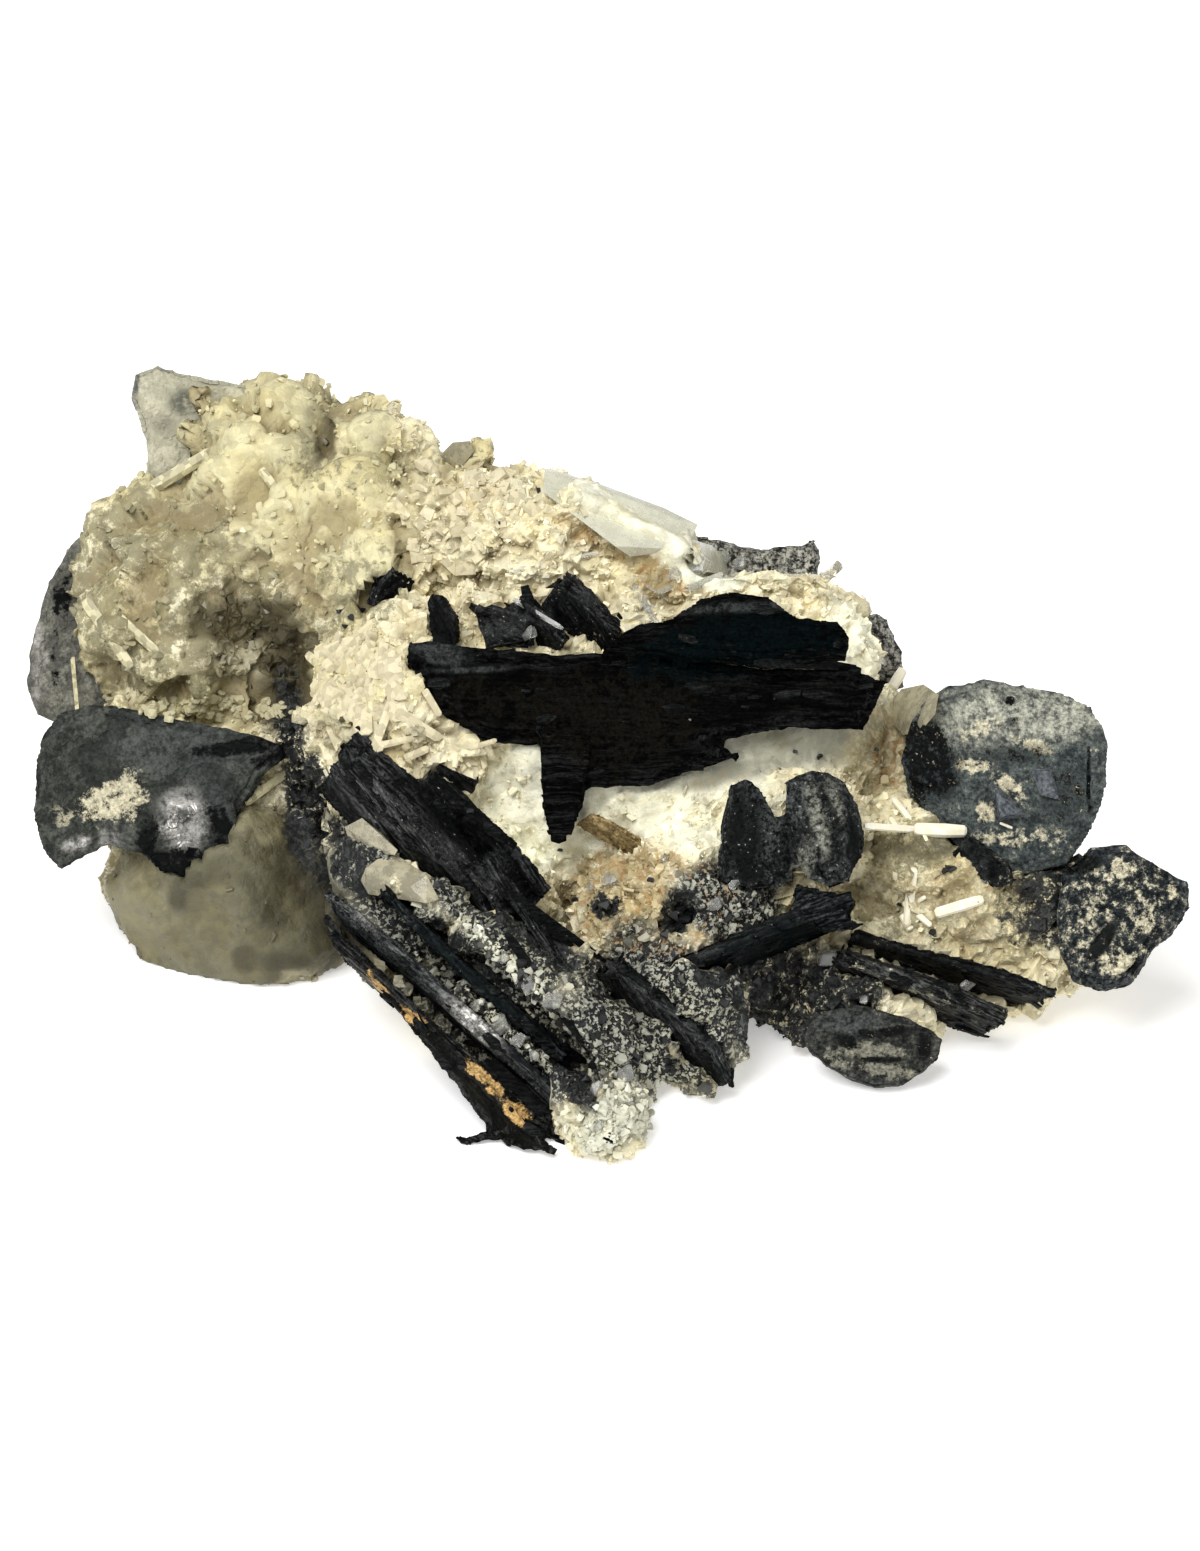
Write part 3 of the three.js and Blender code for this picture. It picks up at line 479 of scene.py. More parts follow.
# The finishes' ramps: where a value begins and ends to count, and what it counts for there, if not 0 and 1.
BROKEN_EDGE = (0.42, 0.78)
BROKEN_FADE = (0.0, 0.25)
GLINT_EDGE = (0.0, 1.0, 0.8, 0.62)
STAINS = (0.4, 0.68, 0.0, 0.7)
CHALK_STAINS = (0.0, 1.0, 1.0, 0.1)
RUSTY_GRAINS = (0.62, 0.8)
PEPPER = (0.43, 0.51)
SPECKS = (0.7, 0.73, 0.0, 0.7)
GREEN_SPECKS = (0.0, 1.0, 1.0, 0.2)
ROCK_SHADES = (0.0, 1.0, 0.8, 1.12)
CRUMB_SHADES = (0.0, 1.0, -0.14, 0.1)
ROCK_ROUGHNESS = (0.0, 1.0, 0.45, 0.85)
GRAIN_SHADES = (0.0, 1.0, 0.78, 1.1)
GRAIN_ROUGHNESS = (0.0, 1.0, 0.65, 0.2)
FROST = (0.4, 0.62)
FROST_ROUGHNESS = (0.35, 0.65, 0.12, 0.45)
CLOUDS = (0.4, 0.62)
STREAKS = (0.45, 0.62)
STEP_SHADES = (0.1, 0.9, 0.3, 1.0)
SHEEN_LINES = (0.44, 0.6)
SOFT_SPOT_BREAKS = (0.38, 0.56, 0.15, 1.0)
DUST_EDGE = (0.66, 0.74)
DUST_GRIT = (0.42, 0.6)
GRIT_EDGE = (0.3, 0.7)
ROUGH_LINES = (0.35, 0.65)

# How much of an effect a finish takes.
BREAK_UP = 3.0
PATCH_STRENGTH = 0.8
GLINT_SOFTNESS = 0.03
SANDY_RUST, TAN_RUST = 0.35, 0.7
SANDY_PEPPER = 0.3
# Strength of the painted shade in the gaps between crystals.
GAP_SHADE_STRENGTH = 0.9
GREY_PEPPER, DARK_PEPPER = 0.46, 0.85  # share of the grains that are dark
DULL_LINE, BRIGHT_LINE = 0.12, 0.08  # added to and taken from the roughness
DUST_SPREAD, DUST_STRENGTH = 0.25, 0.8
SILVER_METAL, SILVER_ROUGHNESS = 0.6, 0.38
GLINT_ROUGHNESS = 0.2
ROCK_GLOSS = 0.35
LATH_ROUGHNESS = 0.45
DOT_ROUGHNESS = 0.35
FLOOR_ROUGHNESS = 0.9
CRYSTAL_IOR = 1.53

# Crystals strewn over the rock: how far small ones outnumber large ones, how uneven their forms are, and
# how far they stand out as a share of their width.
SMALL_ONES = 1.8
FORM_SPREAD = (0.65, 1.15)
GRAIN_LIFT = 0.12
# Crystals laid on the rock: how steeply they may rise, and how much longer they are than they show.
STEEPEST = 0.6
LONGER = 1.05
# Blocks set in the rock: how far they turn to the front and along the surface, and how uneven that is.
BLOCK_OUT, BLOCK_ALONG, BLOCK_DISORDER = 0.75, 0.4, 0.2
# Outlined crystals, as shares of their width: chamfer, lean, size of the foot, and unevenness of the rings.
CHAMFER, LEAN, FOOT_SIZE = 0.2, 0.18, 0.96
SHOULDER_UNEVEN, TOP_UNEVEN = 0.12, 0.1
# Flakes on a blade: how uneven their turns are, width and thickness in millimetres, length in widths.
FLAKE_TILT, FLAKE_TURN = 0.16, 0.15
FLAKE_WIDTHS, FLAKE_THICKNESSES, FLAKE_LENGTHS = (0.25, 0.9), (0.1, 0.22), (1.4, 3.2)

# Sheets: where a surface turns from face to edge, then the amount and the size, in metres, of each wear.
FACE_TO_EDGE = (0.3, 0.75)
EDGE_WEAR, EDGE_WEAR_WIDTH, EDGE_WEAR_SIZE = 0.3, 1.1 * MM, 2.4 * MM
LAYER_BREAK = 0.5
SPLIT, SPLIT_SIZE = 0.6, 2.6 * MM
CHIP, CHIP_SIZE = 0.35, 0.9 * MM
SKIN, SKIN_SIZE = 0.03 * MM, 0.4 * MM
SPOT_UNEVEN, SPOT_UNEVEN_SIZE = 0.2, 1.3 * MM
# How far from an edge the painted highlight on the rim reaches.
RIM_WIDTH = 0.5 * MM

# The sheets of a solid: how alike their faces' directions are, their least share of its area, and how many.
SAME_DIRECTION = 0.985
LEAST_SHARE = 0.1
MOST_SHEETS = 4

# Numbers that scramble whole numbers, of which the lowest 32 bits are kept.
SEED_FACTOR = 2654435761
CELL_FACTORS = (73856093, 19349663, 83492791)
MIX_FACTOR, MIX_OFFSET, MIX_SHIFT = 2246822519, 374761393, 13
LAST_FACTOR = 3266489917
LOW_BITS = 0xFFFFFFFF


# Places and noise


def to_part(places):
    """Places on the face, in millimetres, as points of the part."""
    return FACE_MIDDLE + np.asarray(places, float) * MM @ FACE_AXES


def to_face(points):
    """Points of the part as places on the face, in millimetres."""
    return (points - FACE_MIDDLE) @ FACE_AXES.T / MM


def smooth_step(low, high, value):
    share = np.clip((value - low) / (high - low), 0, 1)
    return share * share * (3 - 2 * share)


def unit(vectors):
    return vectors / np.maximum(np.linalg.norm(vectors, axis=-1, keepdims=True), 1e-12)


def dot(first, second):
    return (first * second).sum(axis=-1)


def scramble(cells, seed):
    """A repeatable number from 0 to 1 for each row of whole numbers."""
    mixed = np.full(len(cells), seed * SEED_FACTOR & LOW_BITS, np.uint64)
    for column, factor in zip(cells.astype(np.int64).T, CELL_FACTORS):
        mixed = (mixed ^ ((column & LOW_BITS).astype(np.uint64) * factor)) & LOW_BITS
        mixed = (mixed * MIX_FACTOR + MIX_OFFSET) & LOW_BITS
        mixed ^= mixed >> MIX_SHIFT
    return (mixed * LAST_FACTOR & LOW_BITS) / (LOW_BITS + 1)


def noise(points, size, seed=1):
    """Smooth noise from about -1 to 1 with bumps of a size."""
    scaled = points / size
    corner = np.floor(scaled)
    inside = scaled - corner
    eased = inside**3 * (inside * (6 * inside - 15) + 10)
    total = np.zeros(len(points))
    for step in np.ndindex(2, 2, 2):
        weight = np.prod(np.where(step, eased, 1 - eased), axis=1)
        total += weight * scramble(corner + step, seed)
    return 2 * total - 1


def layered_noise(points, size, seed=1, octaves=3):
    return sum(noise(points, size / 2**i, seed + i) / 2**i for i in range(octaves))


def facet_height(points, size, seed, tilt):
    """Height of flat crystal faces, each tilted its own way, and a shade for each face."""
    base = np.floor(points / size)
    best = np.full(len(points), np.inf)
    offset = np.zeros_like(points)
    owner = np.zeros_like(points)
    for step in np.ndindex(3, 3, 3):
        cell = base + step - 1
        jitter = np.stack([scramble(cell, seed + axis) for axis in range(3)], axis=1)
        away = points - (cell + jitter) * size
        distance = dot(away, away)
        nearer = distance < best
        best[nearer] = distance[nearer]
        offset[nearer] = away[nearer]
        owner[nearer] = cell[nearer]
    numbers = np.stack([scramble(owner, seed + 11 + i) for i in range(4)], axis=1)
    return tilt * dot(offset, unit(numbers[:, :3] - 0.5)), numbers[:, 3]


def spot_mask(face, spots, ragged, soft):
    """How far each place on the face is inside any of the ellipses, from 0 to each one's strength."""
    mask = np.zeros(len(face))
    for across, up, half_across, half_up, turn, strength in spots:
        cosine, sine = math.cos(math.radians(turn)), math.sin(math.radians(turn))
        x, y = face[:, 0] - across, face[:, 1] - up
        reach = np.hypot((x * cosine + y * sine) / half_across, (y * cosine - x * sine) / half_up)
        mask = np.maximum(mask, strength * (1 - smooth_step(1 - soft, 1 + soft, reach + ragged)))
    return mask


# Meshes


def coordinates(mesh):
    flat = np.empty(3 * len(mesh.vertices))
    mesh.vertices.foreach_get("co", flat)
    return flat.reshape(-1, 3)


def vertex_normals(mesh):
    flat = np.empty(3 * len(mesh.vertices))
    mesh.vertex_normals.foreach_get("vector", flat)
    return flat.reshape(-1, 3)


def move_vertices(mesh, points):
    """Moves a mesh's vertices, kept inside the box of the solids."""
    inside = np.clip(points, np.array(SOLID_BOX[0]), np.array(SOLID_BOX[1]))
    mesh.vertices.foreach_set("co", inside.ravel())
    mesh.update()


def store(mesh, name, values):
    """Keeps a number or a vector for each vertex, for the finishes to read."""
    kind, field = ("FLOAT", "value") if values.ndim == 1 else ("FLOAT_VECTOR", "vector")
    mesh.attributes.new(name, kind, "POINT").data.foreach_set(field, values.astype(np.float32).ravel())


def stored(mesh, name):
    values = np.empty(len(mesh.vertices), np.float32)
    mesh.attributes[name].data.foreach_get("value", values)
    return values


def remeshed(node, voxel):
    """A copy of a solid's mesh with even, fine faces."""
    source = bpy.data.objects.new("source", frame["nodes"][node].data.copy())
    bpy.context.collection.objects.link(source)
    modifier = source.modifiers.new("even", "REMESH")
    modifier.mode = "VOXEL"
    modifier.voxel_size = voxel
    graph = bpy.context.evaluated_depsgraph_get()
    mesh = bpy.data.meshes.new_from_object(source.evaluated_get(graph))
    mesh.materials.clear()
    bpy.data.objects.remove(source)
    return mesh


def surface_tree(meshes):
    """A search tree over the surfaces of meshes."""
    points, faces = [], []
    for mesh in meshes:
        start = len(points)
        points.extend(coordinates(mesh).tolist())
        faces.extend([start + v for v in face.vertices] for face in mesh.polygons)
    return BVHTree.FromPolygons(points, faces)


class Photograph:
    """Finds the places on the solids that pixels of the photograph show."""

    def __init__(self):
        self.eye = to_part([AIM_ACROSS, 0, CAMERA_DISTANCE])
        self.solids = surface_tree(solid.data for solid in frame["nodes"].values())

    def place(self, x, y):
        """Across and up of a pixel on the face, and the millimetres that a pixel spans there."""
        across = (x - PICTURE[0] / 2) / PIXELS_PER_MM
        up = (PICTURE[1] / 2 - y) / PIXELS_PER_MM
        target = to_part([AIM_ACROSS + across, up, 0])
        hit = self.solids.ray_cast(self.eye, unit(target - self.eye))[0]
        if hit is None:
            hit = self.solids.find_nearest(target)[0]
        nearer = 1 - to_face(np.array(hit))[2] / CAMERA_DISTANCE
        return AIM_ACROSS + across * nearer, up * nearer, nearer / PIXELS_PER_MM

    def ellipses(self, rows):
        """Ellipses of the photograph as ellipses on the face, with their turn and strength."""
        made = []
        for x, y, half_width, half_height, *rest in rows:
            across, up, pixel = self.place(x, y)
            rest += UPRIGHT_AND_SOLID[len(rest):]
            made.append((across, up, half_width * pixel, half_height * pixel, *rest))
        return made


def add_piece(name, mesh, material, slot, *nodes):
    """Adds a piece of the specimen, which rides on its one body."""
    mesh.materials.append(material)
    piece = bpy.data.objects.new(name, mesh)
    bpy.context.collection.objects.link(piece)
    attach(piece, "root")
    if nodes:
        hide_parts(*nodes)
    return piece


# Finishes


class Tree:
    """A node tree with short ways to add and link nodes."""

    def __init__(self, tree):
        self.tree = tree

    def add(self, kind, inputs=None, **settings):
        node = self.tree.nodes.new(kind)
        for key, value in settings.items():
            setattr(node, key, value)
        for key, value in (inputs or {}).items():
            if isinstance(value, bpy.types.NodeSocket):
                self.tree.links.new(value, node.inputs[key])
            else:
                node.inputs[key].default_value = value
        return node

    def link(self, output, socket):
        self.tree.links.new(output, socket)

    def math(self, operation, *values):
        return self.add("ShaderNodeMath", dict(enumerate(values)), operation=operation).outputs[0]

    def times(self, first, second):
        return self.math("MULTIPLY", first, second)

    def plus(self, first, second):
        return self.math("ADD", first, second)

    def most(self, first, second):
        return self.math("MAXIMUM", first, second)

    def ramp(self, value, low, high, to_low=0.0, to_high=1.0):
        inputs = {0: value, 1: low, 2: high, 3: to_low, 4: to_high}
        return self.add("ShaderNodeMapRange", inputs, interpolation_type="SMOOTHSTEP").outputs[0]

    def mix(self, factor, first, second, blend="MIX"):
        inputs = {0: factor, 6: first, 7: second}
        return self.add("ShaderNodeMix", inputs, data_type="RGBA", blend_type=blend).outputs[2]

    def shaded(self, colour, value):
        grey = self.add("ShaderNodeCombineColor", {0: value, 1: value, 2: value}).outputs[0]
        return self.mix(1.0, colour, grey, "MULTIPLY")

    def noise(self, vector, scale, detail=4.0, roughness=0.6, distortion=0.0):
        inputs = {"Vector": vector, "Scale": scale, "Detail": detail, "Roughness": roughness}
        return self.add("ShaderNodeTexNoise", {**inputs, "Distortion": distortion}).outputs["Fac"]

    def place(self):
        return self.add("ShaderNodeTexCoord").outputs["Object"]

    def attribute(self, name, output="Fac"):
        return self.add("ShaderNodeAttribute", attribute_name=name).outputs[output]

    def group(self, name, **inputs):
        inputs = {key.capitalize(): value for key, value in inputs.items()}
        return self.add("ShaderNodeGroup", inputs, node_tree=bpy.data.node_groups[name]).outputs

    def broken(self, mask, ragged):
        """A mask whose edge and weaker parts break up along a noise."""
        noisy = self.math("MULTIPLY_ADD", self.math("SUBTRACT", ragged, 0.5), BREAK_UP, mask)
        return self.times(self.ramp(noisy, *BROKEN_EDGE), self.ramp(mask, *BROKEN_FADE))

    def bump(self, height, strength, distance):
        inputs = {"Strength": strength, "Distance": distance, "Height": height}
        return self.add("ShaderNodeBump", inputs).outputs[0]


def new_group(name, inputs, outputs):
    """A shader node group with named numbers in and out."""
    group = bpy.data.node_groups.new(name, "ShaderNodeTree")
    for label, default in inputs.items():
        socket = group.interface.new_socket(label, in_out="INPUT", socket_type="NodeSocketFloat")
        socket.default_value = default
    for label in outputs:
        group.interface.new_socket(label, in_out="OUTPUT", socket_type="NodeSocketFloat")
    tree = Tree(group)
    return tree, tree.add("NodeGroupInput").outputs, tree.add("NodeGroupOutput").inputs


def make_groups():
    """The effects that several finishes share."""
    tree, given, result = new_group("Ragged", {"Scale": 800}, ["Value"])
    tree.link(tree.noise(tree.place(), given["Scale"], 6.0, 0.78), result["Value"])

    # Grit: a fine noise for random tone, and a mask of painted glints, specks that stand for tiny faces
    # catching the light.
    tree, given, result = new_group("Grit", {"Scale": 4000, "Amount": 0.3}, ["Shade", "Glint"])
    value = tree.noise(tree.place(), given["Scale"], 2.0, 0.7)
    edge = tree.ramp(given["Amount"], *GLINT_EDGE)
    tree.link(value, result["Shade"])
    tree.link(tree.ramp(value, edge, tree.plus(edge, GLINT_SOFTNESS)), result["Glint"])

    tree, given, result = new_group("Striation", {"Fineness": 1.0, "Depth": 1.0}, ["Height", "Shade"])
    sheet = tree.attribute("sheet", "Vector")
    along, across = (
        tree.add("ShaderNodeVectorMath", {0: sheet, 1: stretch}, operation="MULTIPLY").outputs[0]
        for stretch in (LINE_STRETCH, FIBRE_STRETCH)
    )
    lines = tree.noise(along, given["Fineness"], 4.0, 0.7, distortion=0.25)
    fibres = tree.noise(across, given["Fineness"], 2.0, 0.7, distortion=0.6)
    both = tree.plus(tree.times(lines, LINE_SHARE), tree.times(fibres, FIBRE_SHARE))
    tree.link(tree.times(both, given["Depth"]), result["Height"])
    tree.link(both, result["Shade"])

    tree, given, result = new_group("Crumble", {"Scale": 1500}, ["Height", "Shade"])
    place = tree.place()
    cells = tree.add("ShaderNodeTexVoronoi", {"Vector": place, "Scale": given["Scale"]}, feature="F1")
    rough = tree.noise(place, tree.times(given["Scale"], 2.0), 3.0, 0.7)
    shade = tree.add("ShaderNodeSeparateColor", {0: cells.outputs["Color"]}).outputs[0]
    tree.link(tree.math("MULTIPLY_ADD", cells.outputs["Distance"], -0.6, rough), result["Height"])
    tree.link(shade, result["Shade"])


def new_material(name):
    material = bpy.data.materials.new(name)
    material.use_nodes = True
    return material, Tree(material.node_tree), material.node_tree.nodes["Principled BSDF"].inputs


def rgb(colour):
    return (*colour, 1.0)


def zone_colour(tree, settings, ragged=None):
    """The pale minerals' colour from the patches kept on the mesh."""
    colour = rgb(settings.cream)
    for patch in PATCHES:
        mask = tree.attribute(patch)
        if ragged and patch in BROKEN_PATCHES:
            mask = tree.broken(tree.times(mask, PATCH_STRENGTH), ragged)
        colour = tree.mix(mask, colour, rgb(getattr(settings, patch)))
    return colour


def rock_finish(settings):
    """Broken pale minerals: patches of colour, stains, dark specks and painted shade in the gaps between
    crystals.
    """
    material, tree, shader = new_material("rock")
    grain = tree.group("Crumble", scale=ROCK_GRAIN)
    ragged = tree.group("Ragged", scale=RAGGED_SCALE)["Value"]
    names = ("chalk", "green", "olive", "sandy", "tan", "grey", "dark")
    chalk, green, olive, sandy, tan, grey, dark = (tree.attribute(name) for name in names)
    colour = zone_colour(tree, settings, ragged)
    stains = tree.ramp(tree.noise(tree.place(), STAIN_SCALE), *STAINS)
    stained = tree.mix(1.0, colour, rgb(settings.stain), "MULTIPLY")
    colour = tree.mix(tree.times(stains, tree.ramp(chalk, *CHALK_STAINS)), colour, stained)
    rusty = tree.math("MULTIPLY_ADD", sandy, SANDY_RUST, tree.times(tan, TAN_RUST))
    rusty = tree.math("SUBTRACT", rusty, tree.most(dark, olive))
    rusty = tree.times(rusty, tree.ramp(grain["Shade"], *RUSTY_GRAINS))
    colour = tree.mix(rusty, colour, rgb(settings.rust))
    shade = tree.ramp(tree.attribute("shade"), *ROCK_SHADES)
    colour = tree.shaded(colour, tree.plus(shade, tree.ramp(grain["Shade"], *CRUMB_SHADES)))
    peppered = tree.most(grey, dark)
    speckled = tree.most(peppered, tree.times(sandy, SANDY_PEPPER))
    pepper = tree.ramp(tree.group("Grit", scale=PEPPER_SCALE)["Shade"], *PEPPER)
    specks = tree.times(tree.ramp(ragged, *SPECKS), tree.ramp(green, *GREEN_SPECKS))
    pepper = tree.most(tree.times(pepper, speckled), specks)
    colour = tree.mix(pepper, colour, rgb(settings.pepper))
    # Painted shade in the gaps between crystals: brown, and black where the rock is grey or dark.
    gap_shade = tree.mix(peppered, rgb(settings.crevice), rgb(settings.pepper))
    colour = tree.mix(tree.times(tree.attribute("crevice"), GAP_SHADE_STRENGTH), colour, gap_shade)
    tree.link(colour, shader["Base Color"])
    tree.link(tree.ramp(grain["Shade"], *ROCK_ROUGHNESS), shader["Roughness"])
    tree.link(tree.bump(grain["Height"], *ROCK_RELIEF), shader["Normal"])
    shader["Specular IOR Level"].default_value = ROCK_GLOSS
    return material


def grain_finish(settings):
    """Small pale crystals that take the patch that they stand on, glassy on some faces."""
    material, tree, shader = new_material("sugar grains")
    shade = tree.attribute("shade")
    colour = tree.shaded(zone_colour(tree, settings), tree.ramp(shade, *GRAIN_SHADES))
    pepper = tree.times(tree.math("LESS_THAN", shade, GREY_PEPPER), tree.attribute("grey"))
    # Grains in the dark patches are mostly black, and so carry the painted shadow between the blades.
    dark = tree.times(tree.math("LESS_THAN", shade, DARK_PEPPER), tree.attribute("dark"))
    colour = tree.mix(tree.most(pepper, dark), colour, rgb(settings.pepper))
    tree.link(colour, shader["Base Color"])
    tree.link(tree.ramp(shade, *GRAIN_ROUGHNESS), shader["Roughness"])
    return material


def clear_finish(name, colour, see_through, density, cloud):
    """See-through crystal, frosted in places, which takes a little of the light on its way."""
    material, tree, shader = new_material(name)
    shader["Transmission Weight"].default_value = see_through
    shader["IOR"].default_value = CRYSTAL_IOR
    frost = tree.noise(tree.place(), FROST_SCALE, 5.0, 0.7)
    tree.link(tree.shaded(rgb(colour), tree.ramp(frost, *FROST, 1 - cloud, 1.0)), shader["Base Color"])
    tree.link(tree.ramp(frost, *FROST_ROUGHNESS), shader["Roughness"])
    tree.link(tree.bump(frost, *FROST_RELIEF), shader["Normal"])
    absorb = tree.add("ShaderNodeVolumeAbsorption", {"Color": rgb(colour), "Density": density})
    tree.link(absorb.outputs[0], material.node_tree.nodes["Material Output"].inputs["Volume"])
    return material


def pale_finish(name, first, second):
    """Pale laths and rods, clouded along their length."""
    material, tree, shader = new_material(name)
    grain = tree.group("Crumble", scale=LATH_GRAIN)
    cloud = tree.ramp(grain["Shade"], 0.0, 1.0)
    tree.link(tree.mix(cloud, rgb(first), rgb(second)), shader["Base Color"])
    shader["Roughness"].default_value = LATH_ROUGHNESS
    tree.link(tree.bump(grain["Height"], *LATH_RELIEF), shader["Normal"])
    return material


def hematite_finish(node, settings):
    """Layered hematite: dark striated sheets with paler steps, dust and patches, with painted highlights on
    edges, striations and shiny patches, and painted glints.
    """
    look = {**PLAIN_BLADE, **LOOKS.get(node, {})}
    material, tree, shader = new_material(node.replace("_", " "))
    lines = tree.group("Striation", depth=look["lines"])
    ragged = tree.group("Ragged", scale=look["grain"])["Value"]
    grit = tree.group("Grit", scale=GLINT_SCALE, amount=look["sparkle"])
    cloud = tree.times(tree.ramp(ragged, *CLOUDS), look["mottle"])
    streak = tree.ramp(lines["Shade"], *STREAKS)
    pale = tree.math("MULTIPLY_ADD", streak, 1 - look["mottle"], cloud)
    pale = tree.times(pale, tree.ramp(tree.attribute("level"), *STEP_SHADES))
    colour = tree.mix(pale, rgb(look["base"]), rgb(look["second"]))
    # Painted highlight along the edges, streaked with the striations; on the pale plate the same grey
    # darkens its rim.
    rim = tree.times(tree.attribute("rim"), tree.times(streak, look["rim"]))
    colour = tree.mix(rim, colour, rgb(settings.rim))
    dull, bright = look["rough"] + DULL_LINE, look["rough"] - BRIGHT_LINE
    rough = tree.ramp(lines["Shade"], *ROUGH_LINES, dull, bright)
    for spot in SPOTS.get(node, {}):
        mask = tree.attribute(spot)
        # Sheen is a painted highlight along the striations.
        if spot == "sheen":
            mask = tree.times(mask, tree.ramp(lines["Shade"], *SHEEN_LINES))
        elif spot in SOFT_SPOTS:
            mask = tree.times(tree.ramp(mask, 0.0, 1.0), tree.ramp(ragged, *SOFT_SPOT_BREAKS))
        else:
            mask = tree.broken(mask, ragged)
        colour = tree.mix(mask, colour, rgb(getattr(settings, spot)))
        # Silver patches paint a bright highlight where the face catches the light, and are partly metallic.
        if spot == "silver":
            tree.link(tree.times(mask, SILVER_METAL), shader["Metallic"])
            rough = tree.mix(mask, rough, rgb([SILVER_ROUGHNESS] * 3))
    if look["dust"]:
        spread = DUST_SPREAD * look["dust"]
        dusty = tree.ramp(ragged, *(edge - spread for edge in DUST_EDGE))
        dusty = tree.times(dusty, tree.ramp(grit["Shade"], *DUST_GRIT))
        colour = tree.mix(tree.times(dusty, DUST_STRENGTH), colour, rgb(settings.cream))
    colour = tree.shaded(colour, tree.ramp(grit["Shade"], *GRIT_EDGE, 1 - look["grit"], 1 + look["grit"]))
    tree.link(tree.mix(grit["Glint"], colour, rgb(settings.glint)), shader["Base Color"])
    tree.link(tree.mix(grit["Glint"], rough, rgb([GLINT_ROUGHNESS] * 3)), shader["Roughness"])
    shader["Specular IOR Level"].default_value = look["gloss"]
    tree.link(tree.bump(lines["Height"], *SHEET_RELIEF), shader["Normal"])
    return material


# Rock


def smooth_zones(patch):
    """Where the rock is even, and where its crystals are only soft, from 0 to 1."""
    even = np.clip(0.55 * patch["chalk"] + patch["clay"] + patch["foot"] + patch["slab"], 0, 1)
    return even, np.clip(patch["green"] + patch["olive"], 0, 1)


def pressed_rock(points, photograph):
    """The rock's points, pressed in and down where plates show, and how far each was pressed in."""
    face = to_face(points)
    across, up, out = face.T
    for start, end, level in LOW_RIDGES:
        first, floor, _ = photograph.place(start, level)
        last, _, _ = photograph.place(end, level)
        edge = 0.1 * (last - first)
        inside = smooth_step(first, first + edge, across) * (1 - smooth_step(last - edge, last, across))
        up -= LOW_RIDGE_PRESS * inside * np.maximum(up - floor, 0)
    low = np.zeros(len(face))
    for row in LOW_ROCK:
        *ellipse, depth = photograph.ellipses([row])[0]
        inside = spot_mask(face, [(*ellipse, 1)], 0, PATCH_EDGE) * (out > depth)
        out -= LOW_ROCK_PRESS * inside * (out - depth)
        low = np.maximum(low, inside)
    return to_part(face), low


def build_rock(settings, photograph):
    """The matrix: broken crystal faces, closed round the plates, smooth in the bowl and on the foot."""
    mesh = remeshed("matrix", settings.voxel)
    points, low = pressed_rock(coordinates(mesh), photograph)
    move_vertices(mesh, points)
    normals = vertex_normals(mesh)
    face = to_face(points)
    ragged = 0.22 * layered_noise(points, 4 * MM, 40) + 0.12 * noise(points, 1.1 * MM, 45)
    front = np.maximum(smooth_step(-0.45, 0.05, normals @ OUT), low)
    for name, rows in PATCHES.items():
        shown = 1 if name in ALL_ROUND else front
        store(mesh, name, spot_mask(face, photograph.ellipses(rows), ragged, PATCH_EDGE) * shown)
    patch = {name: stored(mesh, name) for name in PATCHES}
    even, soft = smooth_zones(patch)
    smooth = np.clip(even + 0.3 * soft + 0.5 * patch["sandy"] + 0.55 * patch["grey"], 0, 1)
    plates = surface_tree(frame["nodes"][node].data for node in HEMATITE_NODES)
    far = 3 * settings.seat
    near = np.array([plates.find_nearest(point, far)[3] or far for point in points])
    broad, broad_shade = facet_height(points, *BROAD_FACES)
    coarse, shade = facet_height(points, *COARSE_FACES)
    fine, fine_shade = facet_height(points, *FINE_FACES)
    height = SWELL_HEIGHT * layered_noise(points, SWELL_SIZE, 7)
    height = height + (coarse + fine * (1 - 0.3 * soft)) * (1 - 0.85 * smooth)
    height += 1.5 * broad * soft * (1 - even)
    height += CRUMB_HEIGHT * noise(points, CRUMB_SIZE, 9)
    height = np.clip(height, LOWEST, HIGHEST)
    # Painted shade in the gaps between crystals, where the relief lies low.
    crevice = smooth_step(GAP_START, GAP_END, height) * (1 - 0.8 * smooth)
    height += settings.seat * (1 - smooth_step(1.0, 3.0, near / settings.seat))
    height *= 1 - 0.8 * low
    height[points[:, 2] < BASE_LEVEL] = 0
    move_vertices(mesh, points + normals * height[:, None])
    store(mesh, "clear", near / far)
    store(mesh, "shade", 0.3 * broad_shade * soft + (1 - 0.3 * soft) * (0.6 * shade + 0.4 * fine_shade))
    store(mesh, "crevice", crevice)
    corners = np.array([face.vertices[0] for face in mesh.polygons])
    mesh.polygons.foreach_set("use_smooth", (even + soft)[corners] > 0.5)
    return mesh


# Crystals made as joined meshes


def hull_shape(points):
    """The faces that wrap a few points: one crystal."""
    mesh = bmesh.new()
    for point in points:
        mesh.verts.new(point)
    made = bmesh.ops.convex_hull(mesh, input=mesh.verts)
    loose = made["geom_interior"] + made["geom_unused"]
    spare = {item for item in loose if isinstance(item, bmesh.types.BMVert)}
    bmesh.ops.delete(mesh, geom=list(spare), context="VERTS")
    mesh.verts.index_update()
    corners = np.array([vertex.co[:] for vertex in mesh.verts])
    faces = np.array([[vertex.index for vertex in face.verts] for face in mesh.faces])
    mesh.free()
    return corners, faces


